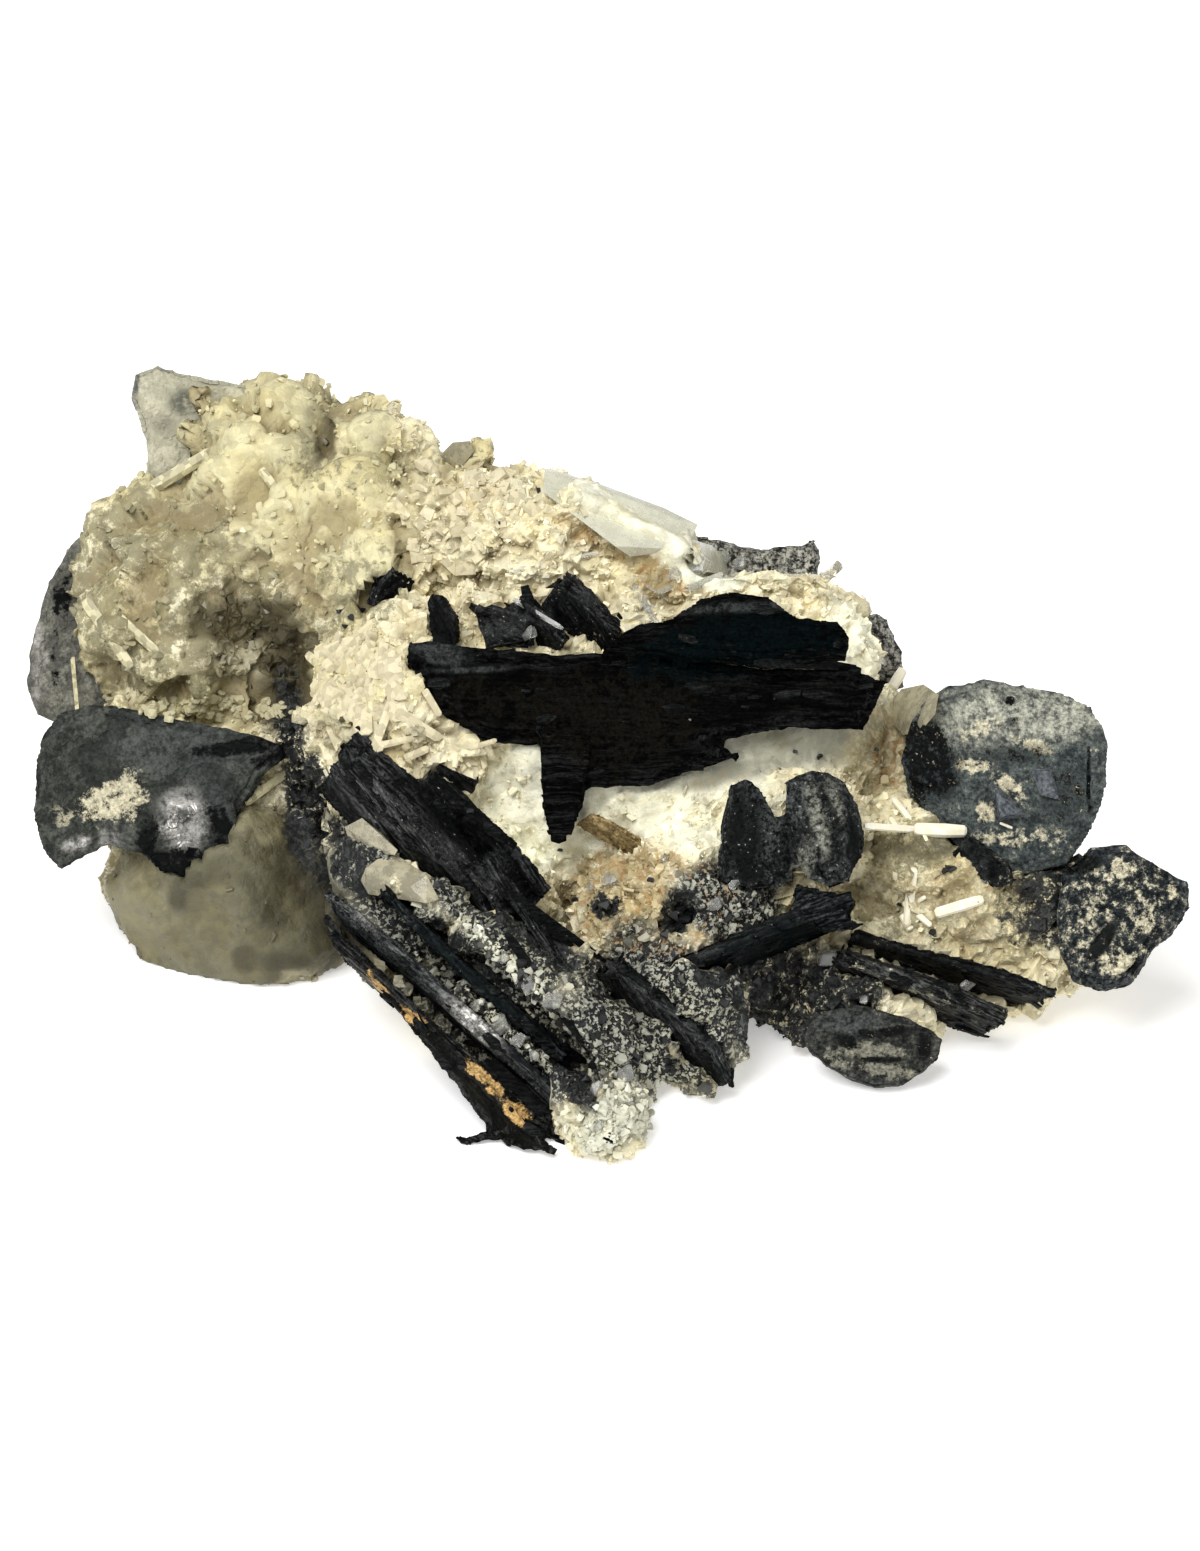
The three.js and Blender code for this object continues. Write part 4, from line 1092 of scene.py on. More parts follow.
def grain_shapes(count, points, seed):
    """Round crystals that wrap a number of chance points."""
    rng = np.random.default_rng(seed)
    return [hull_shape(unit(rng.normal(size=(points, 3))) / 2) for _ in range(count)]


def prism_shape(sides, rings):
    """A crystal along its third axis: rings of corners, given as height and width."""
    turns = (np.arange(sides) + 0.5) * 2 * math.pi / sides
    ring = np.stack([np.cos(turns), np.sin(turns)], axis=1) / 2
    levels = [np.column_stack([ring * width, np.full(sides, height)]) for height, width in rings]
    return hull_shape(np.vstack(levels))


def block_shape(chamfer):
    """A block with its edges and corners cut, leaning one way."""
    corners = []
    for x, y, z in np.ndindex(2, 2, 2):
        corner = np.array([x, y, z]) - 0.5
        for axis in range(3):
            point = corner * (1 - 2 * chamfer)
            point[axis] = corner[axis]
            corners.append(point + [0.25 * point[1], 0, 0])
    return hull_shape(corners)


def flake_shapes(count, seed):
    """Small slabs with uneven corners."""
    rng = np.random.default_rng(seed)
    corners = np.array(list(np.ndindex(2, 2, 2))) - 0.5
    return [hull_shape(corners * rng.uniform(0.65, 1, (8, 3))) for _ in range(count)]


def joined_crystals(name, shapes, places, axes, sizes, values, seed):
    """One mesh of many crystals, with the given numbers kept for each crystal."""
    kinds = np.random.default_rng(seed).integers(len(shapes), size=len(places))
    points, faces, owners, start = [], [], [], 0
    for kind, (corners, triangles) in enumerate(shapes):
        held = np.flatnonzero(kinds == kind)
        made = places[held, None, :] + (corners[None] * sizes[held, None, :]) @ axes[held]
        first = start + np.arange(len(held)) * len(corners)
        points.append(made.reshape(-1, 3))
        faces.append((triangles[None] + first[:, None, None]).reshape(-1, 3))
        owners.append(np.repeat(held, len(corners)))
        start += made.shape[0] * made.shape[1]
    mesh = bpy.data.meshes.new(name)
    mesh.from_pydata(np.vstack(points).tolist(), [], np.vstack(faces).tolist())
    move_vertices(mesh, np.vstack(points))
    for key, numbers in values.items():
        store(mesh, key, numbers[np.concatenate(owners)])
    return mesh


def scattered(mesh, weights, count, rng):
    """Chance points on a mesh, denser where the weight is more, with the normal and a vertex of each."""
    points = coordinates(mesh)
    mesh.calc_loop_triangles()
    flat = np.empty(3 * len(mesh.loop_triangles), np.int32)
    mesh.loop_triangles.foreach_get("vertices", flat)
    corners = flat.reshape(-1, 3)
    a, b, c = (points[corners[:, i]] for i in range(3))
    cross = np.cross(b - a, c - a)
    share = np.linalg.norm(cross, axis=1) * weights[corners].mean(axis=1)
    chosen = rng.choice(len(corners), size=count, p=share / share.sum())
    u, v = np.sqrt(rng.random(count))[:, None], rng.random(count)[:, None]
    place = a[chosen] * (1 - u) + b[chosen] * u * (1 - v) + c[chosen] * u * v
    return place, unit(cross[chosen]), corners[chosen, 0]


def grain_field(name, rock, weights, count, sizes, form, flatness, shapes, seed):
    """Crystals strewn over the rock, taking the patch that they stand on."""
    rng = np.random.default_rng(seed)
    places, normals, nearest = scattered(rock, weights, count, rng)
    low, high = sizes
    width = low * (high / low) ** (rng.random(count) ** SMALL_ONES)
    size = width[:, None] * rng.uniform(*FORM_SPREAD, (count, 3)) * form
    places = places + normals * (GRAIN_LIFT * width)[:, None]
    third = unit(flatness * normals + rng.normal(size=(count, 3)))
    first = unit(np.cross(third, rng.normal(size=(count, 3))))
    axes = np.stack([first, np.cross(third, first), third], axis=1)
    values = {patch: stored(rock, patch)[nearest] for patch in PATCHES}
    values["shade"] = rng.random(count)
    return joined_crystals(name, shapes, places, axes, size, values, seed)


class Surface:
    """The surface that small crystals are set on, looked up along the line out of the face."""

    def __init__(self, meshes):
        self.tree = surface_tree(meshes)

    def at(self, across, up):
        start = to_part([across, up, 40])
        hit, normal, _, _ = self.tree.ray_cast(start, -OUT)
        if hit is None:
            hit, normal, _, _ = self.tree.find_nearest(to_part([across, up, -4]))
        return np.array(hit), np.array(normal)


def laid_crystals(name, rows, photograph, surface, shape, thickness, lift, values):
    """Long crystals that lie on the surface from one pixel of the photograph to another."""
    places, axes, sizes = [], [], []
    for x, y, to_x, to_y, pixels in rows:
        across, up, _ = photograph.place(x, y)
        to_across, to_up, pixel = photograph.place(to_x, to_y)
        width = pixels * pixel * MM
        start, _ = surface.at(across, up)
        end, _ = surface.at(to_across, to_up)
        flat = math.hypot(to_across - across, to_up - up) * MM
        rise = np.clip((end - start) @ OUT, -STEEPEST * flat, STEEPEST * flat)
        way = to_part([to_across, to_up, 0]) - to_part([across, up, 0]) + OUT * rise
        middle, _ = surface.at((across + to_across) / 2, (up + to_up) / 2)
        along = unit(way)
        side = unit(np.cross(OUT, along))
        places.append((start + way / 2 + middle) / 2 + OUT * lift * width)
        axes.append([side, np.cross(along, side), along])
        sizes.append([width, width * thickness, np.linalg.norm(way) * LONGER])
    held = {key: np.full(len(rows), value) for key, value in values.items()}
    return joined_crystals(name, [shape], np.array(places), np.array(axes), np.array(sizes), held, 1)


def pixels_in(ellipse, count, rng):
    """Chance pixels in an upright ellipse of the photograph."""
    x, y, half_width, half_height = ellipse
    turn = rng.uniform(0, 2 * math.pi, count)
    reach = np.sqrt(rng.random(count))
    return np.stack([x + half_width * reach * np.cos(turn), y + half_height * reach * np.sin(turn)], axis=1)


def fan_rows(count, seed):
    """Laths that point away from one pixel and fill an ellipse of the photograph."""
    rng = np.random.default_rng(seed)
    rows = []
    for middle in pixels_in(FAN_ELLIPSE, count, rng):
        way = unit(middle - FAN_FOCUS) + FAN_DISORDER * rng.normal(size=2)
        half = unit(way) * rng.uniform(*FAN_HALF_LENGTHS)
        rows.append((*(middle - half), *(middle + half), rng.uniform(*FAN_WIDTHS)))
    return rows


def broken_rows(seed):
    """Broken crystals that fill ellipses of the photograph, turned any way."""
    rng = np.random.default_rng(seed)
    rows = []
    for *ellipse, count in BROKEN_CRYSTALS:
        for middle in pixels_in(ellipse, count, rng):
            rows.append((*middle, *rng.uniform(*BROKEN_SIZES), rng.uniform(0, 180)))
    return rows


def lump_rows(count, seed):
    """Lumps that fill an ellipse of the photograph."""
    rng = np.random.default_rng(seed)
    widths = rng.uniform(*LUMP_WIDTHS, count)
    middles = pixels_in(LUMP_ELLIPSE, count, rng)
    return [(*middle, width, LUMP_HEIGHT * width, 0) for middle, width in zip(middles, widths)]


def set_blocks(name, rows, photograph, surface, shapes, depth, sink, seed):
    """Blocks set in the surface at pixels: across, down, width, height and turn of each."""
    rng = np.random.default_rng(seed)
    places, axes, sizes = [], [], []
    for x, y, width, height, turn in rows:
        across, up, pixel = photograph.place(x, y)
        place, normal = surface.at(across, up)
        out = unit(OUT * BLOCK_OUT + normal * BLOCK_ALONG + BLOCK_DISORDER * rng.normal(size=3))
        side = unit(np.cross(FACE_AXES[1], out))
        rise = np.cross(out, side)
        cosine, sine = math.cos(math.radians(turn)), math.sin(math.radians(turn))
        axes.append([side * cosine + rise * sine, rise * cosine - side * sine, out])
        size = np.array([width, height, depth * math.sqrt(width * height)]) * pixel * MM
        sizes.append(size)
        places.append(place + out * size[2] * (0.5 - sink))
    return joined_crystals(name, shapes, np.array(places), np.array(axes), np.array(sizes), {}, seed)


def outlined_crystals(name, outlines, photograph, surface, rise, thickness, top, seed):
    """Flat-topped crystals with the outlines that the photograph shows, level with the surface."""
    rng = np.random.default_rng(seed)
    points, faces, start = [], [], 0
    for outline in outlines:
        flat = np.array([photograph.place(x, y)[:2] for x, y in outline])
        middle = flat.mean(axis=0)
        samples = np.vstack([flat, (flat + middle) / 2, [middle]])
        depth = np.array([to_face(surface.at(*sample)[0])[2] for sample in samples])
        known = np.column_stack([samples, np.ones(len(samples))])
        plane = np.linalg.lstsq(known, depth, rcond=None)[0]
        width = np.ptp(flat, axis=0).min()
        lean = LEAN * (flat[rng.integers(len(flat))] - middle)
        # Foot, shoulder and top: share of the outline, how far out, how uneven and how far it leans.
        levels = (
            (FOOT_SIZE, -thickness * width, 0, 0),
            (1.0, rise - CHAMFER * width, SHOULDER_UNEVEN, 0),
            (top, rise, TOP_UNEVEN * (1 - top), lean),
        )
        rings = []
        for shrink, out, uneven, shift in levels:
            ring = middle + (flat - middle) * shrink + shift
            level = ring @ plane[:2] + plane[2] + out + uneven * width * rng.normal(size=len(ring))
            rings.append(to_part(np.column_stack([ring, level])))
        corners, triangles = hull_shape(np.vstack(rings))
        points.append(corners)
        faces.append(triangles + start)
        start += len(corners)
    mesh = bpy.data.meshes.new(name)
    mesh.from_pydata(np.vstack(points).tolist(), [], np.vstack(faces).tolist())
    move_vertices(mesh, np.vstack(points))
    return mesh


def specimen_surface():
    """The surface of the rock and of the hematite solids."""
    solids = (frame["nodes"][node].data for node in HEMATITE_NODES)
    return Surface([bpy.data.objects["rock"].data, *solids])


# Blades and plates


def sheet_directions(mesh):
    """Normal, long axis and middle of a solid's sheets, each polygon's sheet, and the polygons' normals."""
    normals = np.array([face.normal[:] for face in mesh.polygons])
    areas = np.array([face.area for face in mesh.polygons])
    centres = np.array([face.center[:] for face in mesh.polygons])
    kinds, owner = [], np.full(len(areas), -1)
    for i in np.argsort(-areas):
        alike = [k for k, kind in enumerate(kinds) if abs(normals[i] @ kind) > SAME_DIRECTION]
        if not alike:
            kinds.append(normals[i])
        owner[i] = alike[0] if alike else len(kinds) - 1
    share = np.bincount(owner, areas) / areas.sum()
    keep = [k for k in np.argsort(-share) if share[k] > LEAST_SHARE][:MOST_SHEETS]
    sheets = []
    for k in keep:
        held = owner == k
        middle = np.average(centres[held], axis=0, weights=areas[held])
        spread = (centres[held] - middle) * np.sqrt(areas[held])[:, None]
        flat = spread - np.outer(spread @ kinds[k], kinds[k])
        sheets.append((kinds[k], np.linalg.svd(flat, full_matrices=False)[2][0], middle))
    order = {k: i for i, k in enumerate(keep)}
    return sheets, np.array([order.get(k, -1) for k in owner]), normals


def build_sheet(node, settings, photograph, seed):
    """A piece of hematite: stacked sheets with broken steps on their faces and ragged, layered edges."""
    look = {**PLAIN_BLADE, **LOOKS.get(node, {})}
    solid = frame["nodes"][node].data
    sheets, owner, face_normals = sheet_directions(solid)
    kinds, longs, middles = (np.array(column) for column in zip(*sheets))
    mesh = remeshed(node, settings.voxel)
    points = coordinates(mesh)
    normals = vertex_normals(mesh)
    corners = coordinates(solid).tolist()
    faces = [list(face.vertices) for face in solid.polygons]
    whole = BVHTree.FromPolygons(corners, faces)
    edges = BVHTree.FromPolygons(corners, [faces[i] for i in np.flatnonzero(owner < 0)] or faces)
    nearest = np.array([whole.find_nearest(point)[2] for point in points])
    edge_hits = [edges.find_nearest(point) for point in points]
    edge_distance = np.array([hit[3] for hit in edge_hits])
    edge_normal = np.array([hit[1][:] for hit in edge_hits])
    squarest = np.abs(face_normals @ kinds.T).argmin(axis=1)
    sheet = np.where(owner[nearest] >= 0, owner[nearest], squarest[nearest])
    normal, long = kinds[sheet], longs[sheet]
    across = np.cross(normal, long)
    local = np.stack([dot(points - middles[sheet], axis) for axis in (long, across, normal)], axis=1)
    facing = dot(normals, normal)
    on_face = 1 - smooth_step(*FACE_TO_EDGE, 1 - np.abs(facing))

    flat = (local + seed * 17 * MM) * [look["stretch"], 1, 0]
    flat[:, 2] = np.sign(facing) * 9 * MM
    rise = 0.5 + 0.5 * layered_noise(flat, settings.step_width, seed, 4)
    worn = np.abs(noise(points, EDGE_WEAR_SIZE, seed + 5))
    rise -= EDGE_WEAR * (1 - smooth_step(0, EDGE_WEAR_WIDTH, edge_distance)) * worn
    steps = np.floor(np.clip(rise, 0, 0.999) * settings.steps)
    sunk = (1 - (steps + 1) / settings.steps) * settings.step_depth * look["depth"]
    moved = points - normal * (np.sign(facing) * on_face * sunk)[:, None]

    layer = np.floor(local[:, 2] / settings.layer)
    along = np.stack([local[:, 0], layer * 3.1 * MM, local[:, 1]], axis=1)
    ragged = LAYER_BREAK * scramble(np.stack([layer, sheet, 0 * layer], axis=1), seed)
    ragged += SPLIT * np.abs(noise(along, SPLIT_SIZE, seed + 21))
    ragged += CHIP * np.abs(noise(points, CHIP_SIZE, seed + 23))
    inward = unit(edge_normal - normal * dot(edge_normal, normal)[:, None])
    reach = np.clip(1 - edge_distance / (3 * settings.ragged), 0, 1)
    moved -= inward * (settings.ragged * ragged * reach)[:, None]
    moved += normals * (SKIN * noise(points, SKIN_SIZE, seed + 31))[:, None]
    move_vertices(mesh, moved)

    store(mesh, "sheet", local / MM + seed * 3.7)
    store(mesh, "level", scramble(np.stack([steps, sheet, np.sign(facing)], axis=1), seed + 3))
    store(mesh, "rim", (1 - smooth_step(0, RIM_WIDTH, edge_distance)) * (1 - 0.3 * on_face))
    face = to_face(points)
    uneven = SPOT_UNEVEN * noise(points, SPOT_UNEVEN_SIZE, seed + 41)
    for spot, rows in SPOTS.get(node, {}).items():
        store(mesh, spot, spot_mask(face, photograph.ellipses(rows), uneven, SPOT_EDGE))
    return mesh, long


def flakes_on(mesh, long, count, seed):
    """Places, axes and sizes of thin flakes that lie on a sheet, along it."""
    rng = np.random.default_rng(seed)
    places, normals, nearest = scattered(mesh, np.ones(len(mesh.vertices)), count, rng)
    out = unit(normals + FLAKE_TILT * rng.normal(size=(count, 3)))
    first = long[nearest] - out * dot(long[nearest], out)[:, None]
    first = unit(first + FLAKE_TURN * rng.normal(size=(count, 3)))
    first = unit(first - out * dot(first, out)[:, None])
    axes = np.stack([first, np.cross(out, first), out], axis=1)
    width = rng.uniform(*FLAKE_WIDTHS, count) * MM
    length = width * rng.uniform(*FLAKE_LENGTHS, count)
    thickness = rng.uniform(*FLAKE_THICKNESSES, count) * MM
    return places, axes, np.stack([length, width, thickness], axis=1)


# Settings that a user would change


def colour_setting(name, words, value):
    looks = {"subtype": "COLOR", "size": 3, "min": 0, "max": 1}
    return FloatVectorProperty(name=name, description=words, default=value, **looks)


def length_setting(name, words, value):
    return FloatProperty(name=name, description=words, default=value, unit="LENGTH", precision=6)


class RockSettings(bpy.types.PropertyGroup):
    voxel: length_setting("Fineness", "Size of the rock's faces", 0.37 * MM)
    seat: length_setting("Seat", "How far the rock closes on the plates", 0.34 * MM)
    cream: colour_setting("Cream", "Most of the rock", (0.83, 0.765, 0.54))
    chalk: colour_setting("Chalk", "The bowl under the main blade", (0.97, 0.95, 0.74))
    green: colour_setting("Green", "The sugary yellow-green minerals", (0.64, 0.585, 0.355))
    # Painted shadow of the main blade on the white wall behind it.
    clay: colour_setting("Clay", "The smooth grey-white wall behind the main blade", (0.45, 0.44, 0.34))
    # Olive stands for painted shade over most of the left, and for darker crystals on the right.
    olive: colour_setting("Olive", "Darker yellow-green minerals", (0.31, 0.28, 0.165))
    # The foot's colour is pale rock darkened with painted shade from the overhang.
    foot: colour_setting("Foot", "The smooth foot on the left", (0.11, 0.103, 0.06))
    mist: colour_setting("Mist", "Paler clouds in the foot", (0.22, 0.203, 0.122))
    murk: colour_setting("Murk", "Darker clouds in the foot", (0.04, 0.036, 0.02))
    slab: colour_setting("Slab", "The pale green slab on the ridge", (0.86, 0.85, 0.68))
    tan: colour_setting("Tan", "Iron-stained patches", (0.5, 0.41, 0.23))
    # Brown is painted shade in the hollows, with a few darker crystals on the right.
    brown: colour_setting("Brown", "Shaded hollows", (0.1, 0.086, 0.045))
    sandy: colour_setting("Sandy", "The slab on the right", (0.76, 0.69, 0.455))
    grey: colour_setting("Grey", "The salt-and-pepper wedge", (0.39, 0.39, 0.32))
    sugar: colour_setting("Sugar", "Glassy grey grains between the blades", (0.6, 0.595, 0.475))
    # Dark granular rock; in the narrow gaps between the blades it is painted shadow.
    dark: colour_setting("Dark", "Dark granular rock", (0.032, 0.036, 0.034))
    pepper: colour_setting("Pepper", "Dark specks in the rock", (0.006, 0.007, 0.007))
    rust: colour_setting("Rust", "Orange-brown grains", (0.33, 0.19, 0.07))
    stain: colour_setting("Stain", "Multiplies the rock's colour in broad patches", (0.88, 0.82, 0.63))
    # The colour of the painted shade in the gaps between crystals.
    crevice: colour_setting("Crevice", "Colour in the gaps between crystals", (0.27, 0.215, 0.11))
    clear: colour_setting("Clear", "Clear laths and blocks", (0.95, 0.95, 0.9))
    milky: colour_setting("Milky", "The cloudy slabs on the ridge", (0.86, 0.85, 0.68))
    honey: colour_setting("Honey", "Large yellowish crystals", (0.6, 0.55, 0.38))
    lath: colour_setting("Lath", "Pale laths in the rock", (0.46, 0.405, 0.26))
    pale: colour_setting("Pale", "Paler streaks in the laths", (0.66, 0.59, 0.385))
    white: colour_setting("White", "White rods", (0.84, 0.81, 0.7))


class HematiteSettings(bpy.types.PropertyGroup):
    voxel: length_setting("Fineness", "Size of the plates' faces", 0.16 * MM)
    step_width: length_setting("Step width", "Width of the broken steps on a face", 3 * MM)
    step_depth: length_setting("Step depth", "Depth of all the steps together", 0.34 * MM)
    steps: IntProperty(name="Steps", description="Broken steps on a face", default=5, min=1)
    layer: length_setting("Layer", "Thickness of the sheets that show at an edge", 0.3 * MM)
    ragged: length_setting("Ragged edge", "How far an edge is broken back", 0.42 * MM)
    # Paler grey on the edges: painted highlight on the dark sheets, and the grey rim of the pale plate.
    rim: colour_setting("Rim", "Worn edges", (0.16, 0.165, 0.17))
    cream: colour_setting("Cream", "Coating and dust", (0.48, 0.44, 0.31))
    rust: colour_setting("Rust", "Ochre patches", (0.46, 0.3, 0.12))
    # Painted highlight: bright grey shine on partly metallic patches.
    silver: colour_setting("Silver", "Bright metallic patches", (0.38, 0.37, 0.345))
    haze: colour_setting("Haze", "Pale grey coat", (0.36, 0.36, 0.29))
    # Thin grey coat; on the main blade it is painted highlight.
    film: colour_setting("Film", "Thin grey coat", (0.06, 0.066, 0.064))
    # Painted sheen: bright streaks of light along the striations.
    sheen: colour_setting("Sheen", "Bright striations", (0.1, 0.105, 0.1))
    dusk: colour_setting("Dusk", "Beige-grey coat", (0.16, 0.155, 0.12))
    blot: colour_setting("Blot", "Soft dark blotches in the pale plate", (0.06, 0.065, 0.052))
    teal: colour_setting("Teal", "Blue-green sheen", (0.0008, 0.0024, 0.0027))
    brown: colour_setting("Brown", "Velvety brown", (0.0046, 0.0039, 0.0028))
    # Black velvety patches; on the left plate's right part, painted shadow.
    black: colour_setting("Black", "Black velvety patches", (0.004, 0.0045, 0.0045))
    # Painted glints: bright specks that stand for tiny faces catching the light.
    glint: colour_setting("Glint", "Bright specks", (0.3, 0.3, 0.29))


class StageSettings(bpy.types.PropertyGroup):
    floor: colour_setting("Floor", "The white floor", (0.95, 0.95, 0.95))
    glow: FloatProperty(name="Glow", description="Strength of the floor's own light", default=0.35)
    key: FloatProperty(name="Key", description="Power of the main soft light, in watts", default=2.1)
    fill: FloatProperty(name="Fill", description="Power of the side light, in watts", default=0.35)
    sky: FloatProperty(name="Sky", description="Strength of the light from all round", default=0.4)


# Operators


class SPECIMEN_OT_rock(bpy.types.Operator):
    """Builds the rock and the grains on it"""

    bl_idname = "specimen.rock"
    bl_label = "Rock and grains"

    def execute(self, context):
        settings = context.scene.specimen_rock
        rock = build_rock(settings, Photograph())
        add_piece("rock", rock, rock_finish(settings), "matrix", "matrix")
        patch = {name: stored(rock, name) for name in PATCHES}
        even, soft = smooth_zones(patch)
        front = 0.2 + 0.8 * smooth_step(-0.3, 0.2, vertex_normals(rock) @ OUT)
        front *= smooth_step(0.35, 0.9, stored(rock, "clear"))
        dull = np.clip(patch["grey"] + patch["dark"] + patch["sandy"] + 0.6 * patch["brown"], 0, 1)
        bare = front * (1 - 0.96 * even) * (1 - 0.93 * soft)
        sugar = front * (0.06 + 0.1 * patch["grey"] + patch["sugar"])
        sugar = sugar * (1 - even) * (1 - 0.7 * patch["dark"])
        flaky = front * (1 - 0.97 * even) * (1 - 0.95 * dull) * (1 - 0.93 * soft)
        round_form, flat_form = (1, 1, 1), (1.25, 0.9, 0.42)
        # Where they lie, how many, least and greatest width, form, how flat they lie, shapes.
        fields = {
            "sugar_grains": (sugar, 3000, (0.35 * MM, 0.9 * MM), round_form, 1.0, grain_shapes(6, 14, 1)),
            "fine_grains": (bare, 8000, (0.16 * MM, 0.36 * MM), round_form, 1.0, grain_shapes(6, 7, 2)),
            "pale_flakes": (flaky, 4500, (0.2 * MM, 0.6 * MM), flat_form, 0.8, flake_shapes(8, 3)),
        }
        finish = grain_finish(settings)
        for seed, (name, field) in enumerate(fields.items()):
            add_piece(name, grain_field(name, rock, *field, seed=60 + seed), finish, "matrix")
        return {"FINISHED"}


class SPECIMEN_OT_crystals(bpy.types.Operator):
    """Sets the laths, rods, clear blocks and dark dots on the rock"""

    bl_idname = "specimen.crystals"
    bl_label = "Laths, rods and clear crystals"

    def execute(self, context):
        settings = context.scene.specimen_rock
        photograph = Photograph()
        surface = specimen_surface()
        lath = prism_shape(5, [(-0.5, 0.7), (-0.44, 1), (0.42, 0.9), (0.5, 0.45)])
        rod = prism_shape(7, [(-0.5, 0.6), (-0.45, 0.95), (0.1, 1), (0.45, 0.85), (0.5, 0.5)])
        clear = clear_finish("clear crystal", settings.clear, see_through=0.85, density=100.0, cloud=0.1)
        milky = clear_finish("milky crystal", settings.milky, see_through=0.35, density=100.0, cloud=0.12)
        honey = clear_finish("honey crystal", settings.honey, see_through=0.35, density=150.0, cloud=0.4)
        pale = pale_finish("pale lath", settings.lath, settings.pale)
        # The dull laths run from the olive of the painted shade to the green.
        dull = pale_finish("dull lath", settings.olive, settings.green)
        white = pale_finish("white rod", settings.white, settings.cream)
        black, _, shader = new_material("black dot")
        shader["Base Color"].default_value = rgb(settings.pepper)
        shader["Roughness"].default_value = DOT_ROUGHNESS
        # Rows, shape, thickness and lift as shares of the width, finish.
        laid = {
            "pale_laths": (PALE_LATHS, lath, 0.3, 0.4, pale),
            "fan_laths": (fan_rows(FAN_COUNT, 12), lath, 0.3, 0.1, pale),
            "dull_laths": (DULL_LATHS, lath, 0.5, 0.0, dull),
            "clear_laths": (CLEAR_LATHS, lath, 0.6, 0.3, clear),
            "white_rods": (WHITE_RODS, rod, 0.85, 0.35, white),
        }
        for name, (rows, shape, thickness, lift, finish) in laid.items():
            mesh = laid_crystals(name, rows, photograph, surface, shape, thickness, lift, {})
            add_piece(name, mesh, finish, "matrix")
        blocks = [block_shape(chamfer=0.14), *grain_shapes(2, 16, 5)]
        dots = [(x, y, 2 * radius, 2 * radius, 0) for x, y, radius in DOTS]
        lump = bpy.data.materials["sugar grains"]
        # Rows, shapes, depth as a share of the width, the share of that which is sunk, seed, finish.
        sunk = {
            "clear_blocks": (BLOCKS, blocks, 0.75, 0.4, 4, clear),
            "black_dots": (dots, grain_shapes(4, 12, 6), 0.9, 0.3, 6, black),
            "pale_blocks": (broken_rows(14), flake_shapes(6, 15), 0.5, 0.6, 15, pale),
            "rock_lumps": (lump_rows(LUMP_COUNT, 13), grain_shapes(6, 16, 9), 0.8, 0.5, 9, lump),
        }
        for name, (rows, *form, finish) in sunk.items():
            add_piece(name, set_blocks(name, rows, photograph, surface, *form), finish, "matrix")
        lumps = bpy.data.objects["rock_lumps"].data
        for name, value in LUMP_PATCHES.items():
            store(lumps, name, np.full(len(lumps.vertices), value))
        # Outlines, millimetres that the top stands out, thickness and top as shares, seed, finish.
        outlined = {
            "ridge_slabs": (RIDGE_SLABS, 1.1, 0.6, 0.86, 7, milky),
            "honey_crystals": (HONEY_CRYSTALS, 0.6, 0.6, 0.45, 8, honey),
        }
        for name, (outlines, *form, finish) in outlined.items():
            mesh = outlined_crystals(name, outlines, photograph, surface, *form)
            add_piece(name, mesh, finish, "matrix")
        return {"FINISHED"}


class SPECIMEN_OT_sheets(bpy.types.Operator):
    """Builds the hematite blades and plates in place of their solids"""

    bl_idname = "specimen.sheets"
    bl_label = "Blades and plates"

    def execute(self, context):
        settings = context.scene.specimen_hematite
        slots = {part["node"]: part["material_slot"] for part in frame["record"]["subparts"]}
        photograph = Photograph()
        flakes = []
        for seed, node in enumerate(HEMATITE_NODES):
            mesh, long = build_sheet(node, settings, photograph, 100 + seed)
            if node in FLAKED:
                flakes.append(flakes_on(mesh, long, FLAKED[node], 200 + seed))
            add_piece(node + "_crystal", mesh, hematite_finish(node, settings), slots[node], node)
        flake_rings = [(-0.5, 1), (0.2, 0.95), (0.5, 0.7)]
        shapes = [prism_shape(sides, flake_rings) for sides in (4, 5, 6)]
        places, axes, sizes = (np.concatenate(column) for column in zip(*flakes))
        levels = np.random.default_rng(9).random(len(places))
        values = {"level": levels, "rim": np.full(len(places), 0.2)}
        mesh = joined_crystals("flakes", shapes, places, axes, sizes, values, 9)
        store(mesh, "sheet", coordinates(mesh) / MM)
        finish = hematite_finish("flake", settings)
        add_piece("flakes", mesh, finish, "black_hematite")
        surface = specimen_surface()
        blade = prism_shape(4, [(-0.5, 0.5), (-0.4, 1), (0.3, 0.9), (0.5, 0.3)])
        # The sunk dark blade stands for the shadow in the gap between the blades.
        for name, rows, lift in (("thin_blades", THIN_BLADES, 0.2), ("deep_blade", GAP_SHADOW_BLADES, -0.8)):
            mesh = laid_crystals(
                name, rows, photograph, surface, blade, thickness=0.4, lift=lift, values={"level": 0.5})
            store(mesh, "sheet", coordinates(mesh) / MM)
            add_piece(name, mesh, finish, "black_hematite")
        chips = outlined_crystals(
            "plate_chips", PLATE_CHIPS, photograph, surface, rise=0.35, thickness=0.5, top=0.55, seed=8)
        store(chips, "sheet", coordinates(chips) / MM)
        store(chips, "level", np.ones(len(chips.vertices)))
        add_piece("plate_chips", chips, hematite_finish("grey_chip", settings), "dusty_hematite")
        return {"FINISHED"}


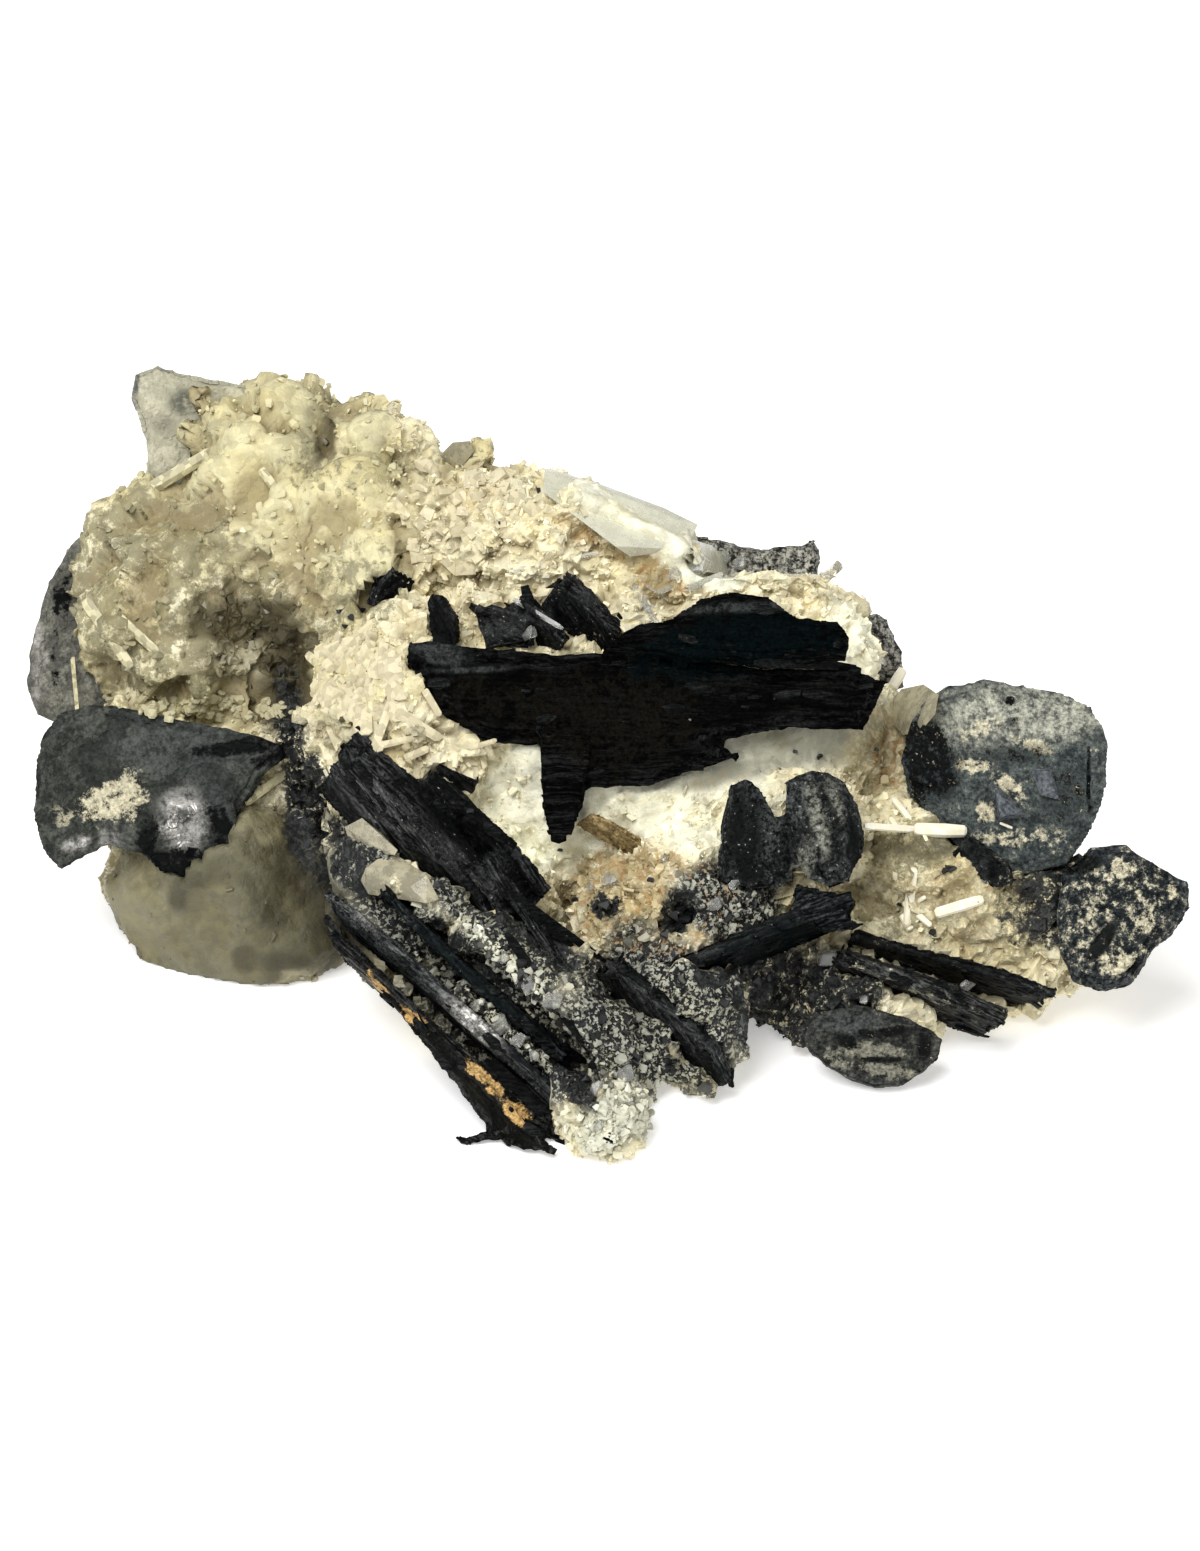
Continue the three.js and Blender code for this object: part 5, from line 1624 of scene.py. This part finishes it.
class SPECIMEN_OT_stage(bpy.types.Operator):
    """Sets up the floor, the lights and the camera"""

    bl_idname = "specimen.stage"
    bl_label = "Floor, lights and camera"

    def execute(self, context):
        settings = context.scene.specimen_stage
        scene = context.scene
        mesh = bpy.data.meshes.new("floor")
        reach = FLOOR_REACH
        corners = [(-reach, -reach, 0), (reach, -reach, 0), (reach, reach, 0), (-reach, reach, 0)]
        mesh.from_pydata(corners, [], [(0, 1, 2, 3)])
        material, _, shader = new_material("floor")
        shader["Base Color"].default_value = rgb(settings.floor)
        shader["Roughness"].default_value = FLOOR_ROUGHNESS
        shader["Emission Color"].default_value = (1, 1, 1, 1)
        shader["Emission Strength"].default_value = settings.glow
        mesh.materials.append(material)
        floor = bpy.data.objects.new("floor", mesh)
        scene.collection.objects.link(floor)
        world = bpy.data.worlds.new("soft sky")
        scene.world = world
        world.use_nodes = True
        sky = world.node_tree.nodes["Background"].inputs
        sky["Color"].default_value = (1, 1, 1, 1)
        sky["Strength"].default_value = settings.sky
        middle = Vector(FACE_MIDDLE)
        for name, (place, width) in LAMPS.items():
            lamp = bpy.data.lights.new(name, "AREA")
            lamp.size = width
            lamp.energy = getattr(settings, name)
            rig = bpy.data.objects.new(name, lamp)
            rig.location = place
            rig.rotation_euler = (middle - Vector(place)).to_track_quat("-Z", "Y").to_euler()
            scene.collection.objects.link(rig)
        camera = bpy.data.cameras.new("camera")
        camera.lens = LENS
        camera.sensor_width = SENSOR
        camera.clip_start = CLIP_START
        rig = bpy.data.objects.new("camera", camera)
        rig.location = to_part([AIM_ACROSS, 0, CAMERA_DISTANCE])
        rig.rotation_euler = Vector(-OUT).to_track_quat("-Z", "Y").to_euler()
        scene.collection.objects.link(rig)
        scene.camera = rig
        scene.view_settings.view_transform = "Standard"
        return {"FINISHED"}


class SPECIMEN_PT_panel(bpy.types.Panel):
    """Lists the steps that dress the specimen"""

    bl_label = "Specimen"
    bl_idname = "SPECIMEN_PT_panel"
    bl_space_type = "VIEW_3D"
    bl_region_type = "UI"
    bl_category = "Specimen"

    def draw(self, context):
        for step in STEPS:
            self.layout.operator(step.bl_idname)


SETTINGS = {
    "specimen_rock": RockSettings,
    "specimen_hematite": HematiteSettings,
    "specimen_stage": StageSettings,
}
STEPS = (SPECIMEN_OT_stage, SPECIMEN_OT_rock, SPECIMEN_OT_crystals, SPECIMEN_OT_sheets)


def register():
    for part in (*SETTINGS.values(), *STEPS, SPECIMEN_PT_panel):
        bpy.utils.register_class(part)
    for name, kind in SETTINGS.items():
        setattr(bpy.types.Scene, name, PointerProperty(type=kind))


def unregister():
    for name in SETTINGS:
        delattr(bpy.types.Scene, name)
    for part in reversed((*SETTINGS.values(), *STEPS, SPECIMEN_PT_panel)):
        bpy.utils.unregister_class(part)


def main():
    register()
    make_groups()
    bpy.ops.specimen.stage()
    bpy.ops.specimen.rock()
    bpy.ops.specimen.crystals()
    bpy.ops.specimen.sheets()


if __name__ == "__main__":
    main()
